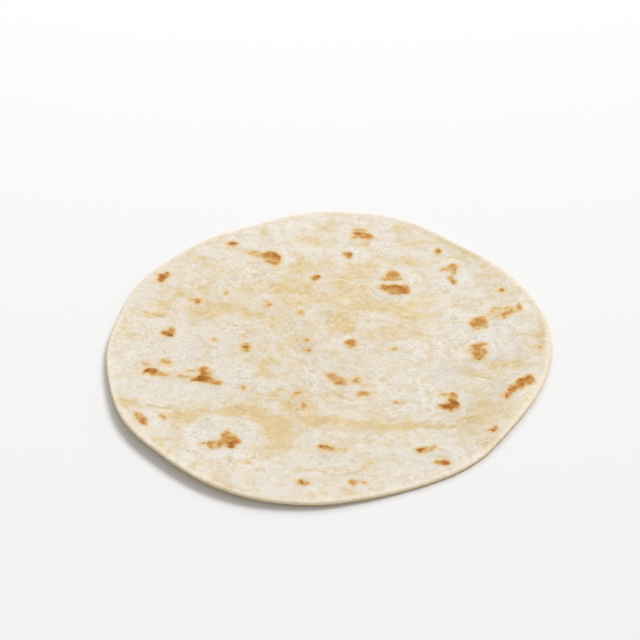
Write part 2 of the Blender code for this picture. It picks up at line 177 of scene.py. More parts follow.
YELLOW = (
    (-18.7, 54.5, 7.6, 4.4, 0, 0.4), (-13.4, -41.1, 8.9, 3.9, -8, 0.3), (-28.8, -52.9, 9.8, 4.0, -89, 0.35),
    (0.1, 35.5, 6.6, 5.8, 1, 0.3), (-19.4, 28.4, 6.4, 4.2, -89, 0.2), (41.1, 27.6, 7.1, 4.6, -41, 0.4),
    (35.9, 9.3, 8.3, 4.2, 1, 0.35), (26.8, 12.1, 7.4, 6.3, 3, 0.4), (-39.8, 42.0, 4.2, 3.6, -2, 0.4),
    (-58.5, 41.0, 4.3, 3.3, -87, 0.3), (7.1, 21.3, 9.3, 3.5, 0, 0.4), (-66.3, -49.9, 4.1, 3.9, 72, 0.35),
    (19.7, -54.6, 5.7, 2.6, 0, 0.3), (67.0, -48.7, 12.4, 2.6, 5, 0.45), (82.4, -12.4, 9.9, 3.4, -1, 0.3),
    (67.2, 69.8, 6.8, 3.8, -54, 0.4), (49.9, 80.9, 5.5, 2.9, -27, 0.5), (73.0, -61.0, 4.9, 3.0, 59, 0.35),
    (15.2, -26.0, 5.5, 3.3, -19, 0.35), (94.3, 10.1, 6.2, 2.7, 86, 0.3), (-39.1, 12.1, 9.8, 2.8, -89, 0.25),
    (-76.9, 33.3, 7.0, 3.3, 36, 0.25), (-12.6, 60.4, 5.9, 3.8, -89, 0.6), (-2.2, 59.6, 6.7, 2.9, 0, 0.45),
    (19.2, 60.3, 6.7, 2.9, 0, 0.25), (37.4, 61.7, 7.6, 4.4, 1, 0.6), (9.7, 51.5, 6.6, 5.9, 2, 0.55),
    (8.2, 41.3, 8.0, 6.5, 1, 0.45), (-18.6, 42.8, 14.1, 4.4, 0, 0.55), (-11.1, 34.8, 7.5, 5.0, 0, 0.5),
    (-6.9, 45.7, 5.7, 4.4, 0, 0.5), (10.4, 31.2, 9.3, 5.0, 0, 0.55), (25.8, 31.9, 7.1, 3.3, -34, 0.5),
    (5.6, 16.3, 7.9, 5.6, 0, 0.7), (20.1, 28.4, 4.3, 3.5, -30, 0.3), (33.7, 29.8, 10.6, 3.8, -43, 0.45),
    (42.2, 19.8, 6.8, 4.6, -64, 0.4), (44.6, 35.5, 4.3, 3.7, 83, 0.35), (46.3, 44.9, 3.6, 2.4, 87, 0.3),
    (-24.9, 17.7, 6.0, 4.2, -1, 0.38), (-72.4, 35.6, 7.3, 2.5, 40, 0.5), (-75.4, 31.2, 4.9, 2.3, -87, 0.4),
    (-79.7, 23.3, 6.9, 2.1, 2, 0.5), (-58.5, 26.0, 9.3, 4.2, 1, 0.55), (-48.8, 29.7, 9.3, 2.8, 0, 0.42),
    (-38.0, 26.2, 7.7, 3.5, -18, 0.38), (-70.2, 39.9, 3.3, 2.9, 1, 0.2), (-60.7, -46.8, 7.9, 4.1, 4, 0.22),
    (-33.7, 46.4, 8.5, 3.6, 0, 0.4), (-38.3, 41.3, 3.3, 2.2, -1, 0.45), (-92.0, -38.3, 7.1, 4.2, -6, 0.6),
    (-75.5, -41.0, 9.7, 1.4, 0, 0.35), (-64.2, -46.3, 7.1, 4.1, 5, 0.6), (-51.1, -42.9, 10.6, 2.7, 2, 0.45),
    (-40.1, -40.6, 7.1, 4.6, 1, 0.7), (-28.9, -46.3, 9.6, 4.2, -31, 0.7), (-21.3, -54.1, 9.1, 6.2, -89, 0.75),
    (-22.9, -63.9, 5.3, 5.2, 27, 0.55), (-11.2, -47.5, 6.3, 3.8, -19, 0.6), (-1.0, -48.2, 8.9, 3.9, -5, 0.75),
    (-25.5, -31.3, 6.3, 4.6, -1, 0.4), (15.3, -50.8, 10.1, 3.9, 0, 0.7), (32.5, -52.1, 10.6, 3.2, 0, 0.72),
    (48.3, -52.2, 9.7, 1.9, -1, 0.55), (62.7, -46.0, 7.4, 3.1, 23, 0.5), (74.0, -42.3, 6.4, 3.8, 18, 0.35),
    (66.7, -38.2, 6.2, 3.3, -1, 0.3), (97.2, 11.4, 12.5, 2.3, 83, 0.55), (94.9, -1.7, 4.1, 2.7, 84, 0.35),
    (79.4, -9.6, 10.0, 2.7, -6, 0.4), (63.2, -16.1, 6.3, 2.7, 0, 0.2), (76.6, -19.7, 6.4, 3.3, -19, 0.3),
    (50.3, -70.7, 3.9, 3.1, 2, 0.25), (-9.3, 77.4, 5.8, 3.7, -1, 0.5), (-30.6, 84.2, 6.0, 1.9, -89, 0.3),
    (-0.2, 87.8, 5.8, 3.7, -1, 0.5), (-14.2, 87.2, 3.9, 2.3, -1, 0.2), (-58.4, 63.0, 4.8, 3.7, 1, 0.35),
    (-54.3, 54.2, 5.7, 2.9, 1, 0.2), (38.7, 77.2, 4.8, 4.4, 8, 0.35), (13.7, 75.8, 3.8, 3.7, 6, 0.3),
    (34.2, 86.9, 3.0, 2.9, 70, 0.25), (30.1, 78.0, 2.9, 2.2, 1, 0.2), (65.4, 70.5, 6.8, 3.8, -54, 0.3),
    (71.5, 59.3, 7.6, 4.5, -71, 0.25), (56.5, 78.0, 3.9, 2.2, -19, 0.3), (78.0, 48.2, 6.0, 2.9, -63, 0.25),
    (47.8, 59.5, 7.3, 2.8, 88, 0.15), (-92.7, 24.8, 4.2, 3.7, -85, 0.2), (-28.1, -9.2, 7.5, 4.1, -89, 0.28),
    (-9.6, 1.0, 5.5, 4.1, -90, 0.45), (8.5, -21.3, 4.5, 3.3, 1, 0.3), (-36.8, -28.6, 5.4, 2.6, 0, 0.25),
    (-29.4, -18.0, 7.2, 3.4, 0, 0.15), (-59.5, 3.7, 4.6, 2.1, 1, 0.2), (-74.3, -63.6, 4.1, 2.6, -89, 0.3),
    (-49.5, -90.2, 6.0, 2.6, -3, 0.35), (-34.6, -88.4, 3.4, 1.9, 5, 0.25), (-50.4, -75.7, 6.0, 2.7, 5, 0.38),
    (-37.0, -74.2, 4.3, 2.0, 3, 0.25), (-0.2, -79.5, 6.0, 1.9, 1, 0.35), (8.4, -80.7, 5.2, 2.5, 1, 0.35),
    (14.9, -78.1, 2.6, 2.5, 16, 0.35), (-11.0, -79.1, 4.3, 1.3, 1, 0.3), (7.9, -93.2, 5.6, 2.5, -7, 0.42),
    (17.2, -69.9, 2.5, 1.7, 88, 0.2), (21.5, -73.1, 2.5, 1.7, 88, 0.2), (-68.3, -52.8, 3.5, 3.4, 28, 0.25),
    (13.0, -60.4, 8.8, 3.2, 0, 0.15), (69.4, -61.5, 5.8, 4.0, 41, 0.42), (61.2, -60.7, 5.2, 3.2, 0, 0.2),
    (-13.4, -35.9, 8.5, 6.7, -89, 0.35), (-20.6, -37.8, 4.6, 4.0, -87, 0.3), (-8.1, -52.7, 6.2, 3.2, 0, 0.3),
    (-22.2, 23.4, 6.5, 4.3, -1, 0.22), (-1.3, 34.1, 5.0, 4.2, 90, 0.2), (15.1, 33.4, 5.1, 3.6, 1, 0.25),
    (12.2, 25.5, 4.6, 4.3, 3, 0.22), (14.9, 53.7, 8.1, 3.3, 89, 0.25), (32.1, 22.7, 5.8, 2.7, -26, 0.25),
    (38.8, 13.5, 4.9, 3.2, 87, 0.4), (71.1, -37.6, 4.6, 4.0, 82, 0.4), (77.3, -47.0, 3.3, 3.1, 73, 0.22),
    (-27.2, -11.3, 7.4, 5.0, -88, 0.14), (-47.7, -53.5, 7.0, 3.3, 3, 0.12), (-50.0, -75.0, 7.8, 2.7, 4, 0.2),
    (47.1, 41.3, 3.3, 2.9, 6, 0.25), (35.9, 58.8, 6.2, 2.9, -9, 0.2), (90.5, -34.2, 10.1, 2.8, 67, 0.2),
    (17.6, 77.3, 4.3, 3.0, 0, 0.3), (-75.7, -10.6, 7.2, 3.5, 3, 0.15), (-64.8, 23.1, 3.2, 2.8, -1, 0.25),
    (-86.0, -12.6, 3.6, 3.5, 8, 0.2), (-9.0, -44.3, 4.4, 3.9, -1, 0.3), (20.7, 7.2, 3.5, 2.3, 88, 0.25),
    (34.8, 18.4, 6.2, 2.5, -40, 0.25), (37.8, 11.4, 5.6, 2.3, 88, 0.2), (-17.0, 10.7, 4.2, 2.8, -89, 0.15),
    (-23.1, 21.3, 5.7, 3.7, -89, 0.12), (-10.8, -34.6, 4.0, 3.3, 0, 0.2), (-16.6, -30.6, 4.0, 3.0, 49, 0.15),
    (-56.1, -51.3, 6.2, 4.0, 4, 0.18), (-30.0, -55.5, 5.9, 2.2, -89, 0.2), (-27.2, -69.2, 3.9, 3.0, 90, 0.22),
    (17.5, -55.3, 3.5, 3.2, 4, 0.2), (76.1, 20.9, 3.7, 3.5, 16, 0.5), (76.7, -25.8, 3.4, 3.1, 74, 0.25),
    (95.3, -3.0, 4.2, 4.0, 49, 0.25), (65.5, -16.8, 7.2, 2.7, -1, 0.2), (75.9, -15.6, 2.8, 2.7, 46, 0.22),
    (-71.9, -68.1, 6.1, 3.4, -3, 0.22), (-43.8, -93.0, 8.6, 3.2, -8, 0.3), (-69.0, -57.6, 5.4, 3.1, -88, 0.15),
    (-83.9, 33.0, 8.5, 6.2, 54, 0.12), (-53.6, 34.7, 5.6, 3.6, 0, 0.2), (14.7, 78.1, 4.8, 3.7, 0, 0.2),
    (61.3, 64.6, 8.5, 4.1, -62, 0.25), (71.9, 48.3, 3.7, 3.3, 79, 0.2), (46.1, 39.8, 5.1, 3.3, 87, 0.2),
    (1.8, 87.1, 4.5, 3.9, -90, 0.2), (19.8, 35.5, 3.6, 2.8, 88, 0.25), (15.7, -21.3, 7.2, 5.3, 1, 0.12),
    (48.1, -71.3, 4.3, 3.1, 1, 0.25), (92.2, 12.2, 5.6, 4.6, 81, 0.2), (95.7, -35.7, 7.7, 3.7, 71, 0.3),
    (-13.1, -97.0, 25.6, 3.8, 2, 0.14), (-83.9, -10.4, 7.2, 3.5, 3, 0.2), (-67.6, -20.6, 4.5, 2.7, 3, 0.2),
    (13.2, 29.8, 6.4, 5.6, 87, 0.2), (-59.1, 18.3, 4.6, 4.2, -4, 0.2), (10.7, 57.4, 5.9, 4.3, 89, 0.2),
    (62.4, -14.8, 9.0, 2.7, -1, 0.22), (-53.7, -55.2, 6.1, 4.0, 4, 0.15), (85.1, 1.3, 4.1, 2.3, 85, 0.25),
    (-42.6, -75.8, 4.3, 3.9, 13, 0.2), (-29.6, 79.7, 6.0, 3.9, -88, 0.15), (-18.2, -2.4, 21.9, 16.4, -1, 0.1),
    (-0.1, -29.3, 26.9, 14.5, 0, 0.07), (-35.8, -33.3, 17.9, 13.1, -1, 0.07), (32.0, -2.4, 16.4, 13.7, 3, 0.06),
    (71.4, -31.7, 10.8, 10.5, 37, 0.08), (-13.3, -63.7, 21.8, 10.3, 1, 0.06),
)
FLOURY = (
    (0.3, 93.1, 41.3, 6.8, 0, 0.45), (-22.5, 90.2, 7.8, 6.8, -4, 0.3), (24.4, 81.0, 13.5, 9.7, 1, 0.3),
    (52.6, 63.2, 10.3, 7.4, -63, 0.35), (-75.2, -3.0, 12.3, 6.9, 2, 0.55), (-73.9, -29.9, 16.9, 6.9, 4, 0.4),
    (13.9, 16.3, 7.4, 4.9, 1, 0.35), (38.2, -21.3, 22.7, 18.9, 85, 0.35), (60.5, -26.2, 6.3, 4.0, 0, 0.35),
    (73.4, 32.3, 5.7, 4.7, 83, 0.3), (89.2, 30.6, 8.6, 5.6, 85, 0.35), (27.9, -39.8, 14.2, 4.6, 0, 0.35),
    (88.2, 22.1, 12.7, 7.4, 85, 0.4), (-13.1, -89.4, 25.7, 7.0, 2, 0.4), (34.2, -85.6, 15.6, 6.8, 8, 0.45),
    (53.1, -65.0, 20.4, 8.1, 12, 0.35), (8.6, -61.7, 6.6, 5.1, 1, 0.35), (-37.2, 29.8, 7.0, 5.0, -1, 0.3),
    (-42.8, 69.2, 17.0, 7.1, 26, 0.25), (57.8, 16.3, 10.2, 9.7, 21, 0.3), (-37.0, -76.2, 5.6, 5.2, 13, 0.3),
    (79.2, -37.2, 4.0, 3.9, 36, 0.4), (92.5, -23.5, 4.7, 3.6, 83, 0.45), (-70.6, 49.3, 7.3, 5.7, -87, 0.3),
    (-47.9, -60.2, 16.7, 16.0, 18, 0.82), (-80.4, -49.0, 10.5, 6.2, -4, 0.8), (29.8, 44.2, 12.4, 9.4, 87, 0.8),
    (58.4, 53.6, 11.7, 8.0, 86, 0.9), (67.9, 5.7, 18.7, 8.2, 87, 0.6), (79.6, 9.0, 11.3, 10.8, 48, 0.7),
    (53.4, -36.0, 10.5, 7.6, 86, 0.6), (46.7, -71.9, 11.5, 9.2, -26, 0.62), (83.0, -25.3, 12.9, 6.7, 47, 0.4),
    (9.8, 70.7, 14.4, 8.9, 0, 0.4), (-78.6, 49.0, 6.6, 6.5, -1, 0.4), (-74.5, 10.9, 7.4, 7.0, -5, 0.5),
    (-79.0, -17.0, 13.5, 9.7, 4, 0.4), (-56.4, -19.5, 13.5, 9.5, 1, 0.4), (-59.3, -1.1, 18.2, 13.7, 0, 0.3),
    (-40.5, -24.7, 27.0, 8.0, 0, 0.35), (-13.1, -87.5, 6.9, 6.4, 10, 0.4), (11.4, -86.9, 7.7, 5.6, 2, 0.35),
    (-1.9, -64.9, 7.9, 5.8, 1, 0.35), (71.1, -53.9, 5.3, 4.5, 3, 0.35), (9.7, 3.8, 6.4, 6.2, 8, 0.4),
    (2.7, -18.7, 10.8, 8.6, -46, 0.35), (15.2, -27.3, 9.0, 8.6, 9, 0.38), (40.9, -7.9, 13.8, 13.4, 42, 0.25),
    (44.9, -24.7, 13.3, 9.0, 87, 0.25), (-43.0, 78.2, 9.6, 6.0, 0, 0.3), (8.8, 67.0, 5.9, 5.7, 84, 0.5),
    (15.7, 82.5, 8.7, 6.7, 0, 0.35), (-27.0, 65.5, 8.2, 7.6, -84, 0.3), (-6.4, 50.1, 4.4, 4.3, -89, 0.4),
    (51.4, 69.8, 5.9, 4.3, 86, 0.62), (80.9, 40.9, 4.4, 3.7, 81, 0.3), (-62.0, 33.8, 5.0, 4.7, -83, 0.4),
    (-48.6, 38.3, 4.3, 2.8, -88, 0.3), (-38.3, 0.3, 5.5, 4.1, -87, 0.25), (-10.0, 2.4, 6.2, 4.1, -90, 0.3),
    (-13.5, -34.6, 6.5, 4.0, -89, 0.3), (12.9, -66.7, 17.4, 6.4, 0, 0.2), (-13.2, -76.6, 17.3, 5.1, 1, 0.25),
    (-90.3, -16.4, 16.8, 8.1, -87, 0.25), (-68.8, 27.9, 6.3, 2.8, -87, 0.5), (-83.9, 33.0, 5.6, 3.5, 2, 0.3),
    (-71.0, 58.8, 9.5, 5.9, 2, 0.25), (-23.5, 57.4, 4.3, 3.7, -2, 0.5), (4.8, 31.9, 5.0, 2.3, 90, 0.4),
    (30.5, 31.2, 5.6, 2.9, -9, 0.35), (42.9, 70.6, 4.4, 3.8, 84, 0.4), (75.2, 57.1, 6.2, 4.0, -43, 0.35),
    (-97.7, -6.4, 5.6, 3.6, -87, 0.35), (-85.0, -45.3, 4.9, 3.5, -89, 0.38), (23.1, -11.3, 12.2, 3.6, 89, 0.25),
    (28.9, -37.8, 11.6, 7.2, 1, 0.22), (38.1, -41.1, 5.9, 3.1, 88, 0.25), (15.0, -73.1, 4.4, 3.5, 88, 0.35),
    (25.6, -83.1, 3.5, 3.1, 7, 0.35), (6.4, -58.5, 5.1, 3.5, 89, 0.25), (-70.4, 66.3, 13.1, 4.9, 82, 0.3),
    (84.4, 20.8, 8.4, 6.5, 83, 0.3), (-34.8, 30.5, 6.4, 4.7, -88, 0.25), (-36.7, -87.3, 10.3, 5.8, 5, 0.2),
    (-73.0, -1.5, 9.1, 5.5, 2, 0.25), (30.5, 14.2, 6.2, 2.7, -25, 0.3), (-70.4, 22.9, 5.6, 3.7, -87, 0.25),
    (-8.2, 16.3, 3.5, 2.3, -90, 0.35), (-0.8, 14.2, 4.2, 1.8, 90, 0.4), (24.9, -14.6, 9.4, 3.2, 89, 0.2),
    (92.1, -23.5, 4.1, 3.1, 83, 0.3), (46.7, 28.3, 3.6, 2.3, 87, 0.4), (-49.9, 19.8, 5.6, 2.8, -88, 0.3),
    (53.3, 19.8, 8.5, 2.8, 88, 0.3), (75.3, 41.0, 7.1, 4.0, -38, 0.3), (96.1, 1.8, 6.9, 6.3, 72, 0.25),
    (29.1, 31.2, 6.6, 3.6, -9, 0.4), (45.4, 30.5, 4.3, 2.3, 87, 0.45), (7.1, 31.9, 5.0, 2.3, 89, 0.3),
    (13.9, 9.3, 5.6, 2.7, -17, 0.3), (31.4, 10.7, 6.2, 3.1, -42, 0.35), (0.1, 16.3, 4.9, 2.3, 90, 0.3),
    (-49.2, 75.9, 4.5, 4.3, -79, 0.35), (-42.5, 57.3, 4.4, 3.8, -86, 0.3), (-23.5, 58.2, 4.4, 3.8, -87, 0.42),
    (-45.0, 44.1, 4.4, 3.8, -86, 0.3), (-18.6, 34.1, 4.2, 3.6, -1, 0.25), (-51.9, 23.3, 3.5, 2.8, -86, 0.3),
    (-73.4, 16.6, 4.2, 4.1, -60, 0.42), (-84.0, 7.8, 3.7, 3.5, -2, 0.3), (-72.3, -7.0, 7.2, 4.9, -43, 0.3),
    (-27.1, -15.3, 4.5, 3.4, -1, 0.25), (-85.4, -46.0, 6.9, 4.4, -88, 0.45), (-82.2, -55.4, 4.4, 3.4, 10, 0.25),
    (-43.2, -56.0, 4.0, 3.1, -90, 0.55), (-56.4, -76.8, 8.0, 3.9, -21, 0.25), (-43.3, -81.1, 7.8, 4.6, 5, 0.2),
    (-36.2, -72.2, 5.3, 3.5, -90, 0.35), (-34.4, -93.6, 5.1, 3.2, 5, 0.25), (-13.1, -84.9, 9.5, 4.5, 2, 0.2),
    (12.8, -73.1, 5.7, 3.9, 88, 0.3), (26.5, -83.1, 5.0, 3.4, 87, 0.35), (42.9, -82.5, 14.9, 4.3, 12, 0.25),
    (28.6, -68.0, 4.5, 4.3, 62, 0.25), (41.5, -60.5, 9.6, 3.8, 0, 0.2), (4.3, -47.5, 4.4, 3.2, 0, 0.25),
    (-6.8, -39.8, 3.1, 2.6, 0, 0.3), (39.9, -39.8, 5.9, 3.6, 87, 0.3), (44.7, -29.3, 4.7, 4.5, 69, 0.2),
    (66.3, -44.7, 3.5, 3.2, 7, 0.35), (58.3, -24.8, 6.3, 5.3, 4, 0.2), (66.3, -28.3, 3.3, 2.7, 84, 0.25),
    (94.2, -25.6, 5.4, 4.0, 1, 0.45), (85.5, 15.9, 8.4, 4.6, 86, 0.3), (91.2, 33.4, 5.0, 4.6, 74, 0.3),
    (81.4, 25.1, 2.8, 2.1, 2, 0.2), (70.0, 28.8, 6.6, 6.3, 31, 0.3), (50.9, 16.3, 5.6, 3.2, 87, 0.25),
    (51.6, 72.8, 5.8, 4.4, 3, 0.35), (41.5, 73.5, 4.4, 3.4, 86, 0.3), (80.3, 46.0, 4.4, 4.2, 66, 0.3),
    (22.6, -14.6, 5.4, 4.1, 88, 0.2), (2.3, -6.5, 4.8, 4.1, 89, 0.2), (55.5, -6.5, 5.5, 4.8, 6, 0.25),
    (-8.4, 67.8, 4.4, 3.8, -89, 0.3), (12.4, 89.2, 6.7, 4.4, 89, 0.25), (-22.9, 84.2, 6.0, 3.4, -89, 0.25),
    (5.0, 59.6, 3.7, 2.4, 89, 0.2), (-97.7, -6.4, 4.2, 3.6, -87, 0.25), (-82.7, 28.8, 4.2, 4.2, -64, 0.3),
    (-71.4, -16.6, 8.2, 4.5, -87, 0.22), (38.3, 28.4, 7.1, 3.3, 88, 0.3), (55.0, 63.2, 5.9, 3.8, 86, 0.25),
    (94.3, 30.5, 5.0, 4.2, 81, 0.25), (-43.2, -56.6, 3.1, 2.7, 5, 0.3), (93.4, -23.5, 3.4, 2.7, 82, 0.5),
    (40.7, -85.0, 15.0, 4.8, 15, 0.3), (21.1, -93.1, 12.0, 3.7, 5, 0.25), (98.1, -1.7, 9.7, 3.6, 86, 0.25),
    (-98.2, -18.4, 9.9, 2.7, -86, 0.2),
)

# Crackled, grainy places.
GRAINY = (
    (-9.7, -35.2, 1.7, 1.4, -89, 0.8), (-10.5, -38.8, 1.7, 1.4, -89, 0.8), (-12.7, -40.7, 1.7, 1.4, -89, 0.8),
    (-15.3, -40.0, 1.7, 1.4, -88, 0.8), (-17.0, -37.1, 1.7, 1.4, -88, 0.8), (-17.0, -33.3, 1.7, 1.4, -88, 0.8),
    (-15.4, -30.4, 1.7, 1.4, -88, 0.8), (-12.8, -29.7, 1.7, 1.4, -89, 0.8), (-10.6, -31.6, 1.7, 1.4, -89, 0.8),
    (-8.0, 1.7, 1.4, 1.2, -90, 0.8), (-8.9, -1.5, 1.4, 1.2, -89, 0.8), (-11.0, -2.3, 1.4, 1.2, -89, 0.8),
    (-12.8, -0.1, 1.4, 1.2, -89, 0.8), (-12.8, 3.5, 1.4, 1.2, -89, 0.8), (-11.0, 5.7, 1.4, 1.2, -89, 0.8),
    (-8.9, 5.0, 1.4, 1.2, -89, 0.8), (-58.7, 46.1, 7.1, 5.8, 0, 0.7), (-73.5, 60.9, 6.6, 5.2, 3, 0.35),
    (-39.1, 14.9, 5.6, 5.5, -58, 0.6), (79.3, 27.9, 7.8, 5.7, 42, 0.6), (64.7, -60.8, 5.2, 3.8, 0, 0.6),
    (-9.5, -16.0, 8.1, 3.6, -90, 0.45), (15.3, -19.3, 5.0, 4.0, 1, 0.6), (70.1, 31.7, 3.6, 3.3, 78, 0.5),
    (-77.0, -12.8, 9.9, 4.2, 3, 0.35), (-93.6, 39.6, 5.6, 4.2, 3, 0.4), (0.1, 21.3, 4.2, 3.7, 89, 0.6),
    (6.7, -29.3, 6.4, 3.2, -17, 0.6), (42.4, -31.3, 7.9, 5.4, 87, 0.35), (66.2, -1.2, 8.9, 6.4, 85, 0.35),
    (51.8, 41.2, 5.8, 5.6, 64, 0.3), (-13.9, 34.1, 7.5, 5.8, -1, 0.3), (-32.9, 52.2, 6.6, 4.4, 0, 0.12),
    (29.0, 72.8, 5.8, 3.7, 1, 0.3), (-43.5, -75.9, 8.6, 4.0, 4, 0.3), (-4.5, -79.6, 7.8, 3.2, 1, 0.35),
    (76.5, -20.4, 6.4, 3.3, -19, 0.5), (58.6, 34.0, 6.5, 5.0, 2, 0.3), (36.7, 2.4, 5.5, 4.6, 85, 0.3),
    (-87.2, 8.3, 6.4, 4.2, 3, 0.3), (-26.9, -31.3, 5.4, 3.9, -1, 0.3), (80.7, 12.5, 6.3, 4.1, 85, 0.6),
    (67.2, -28.3, 4.0, 3.6, 80, 0.3),
)
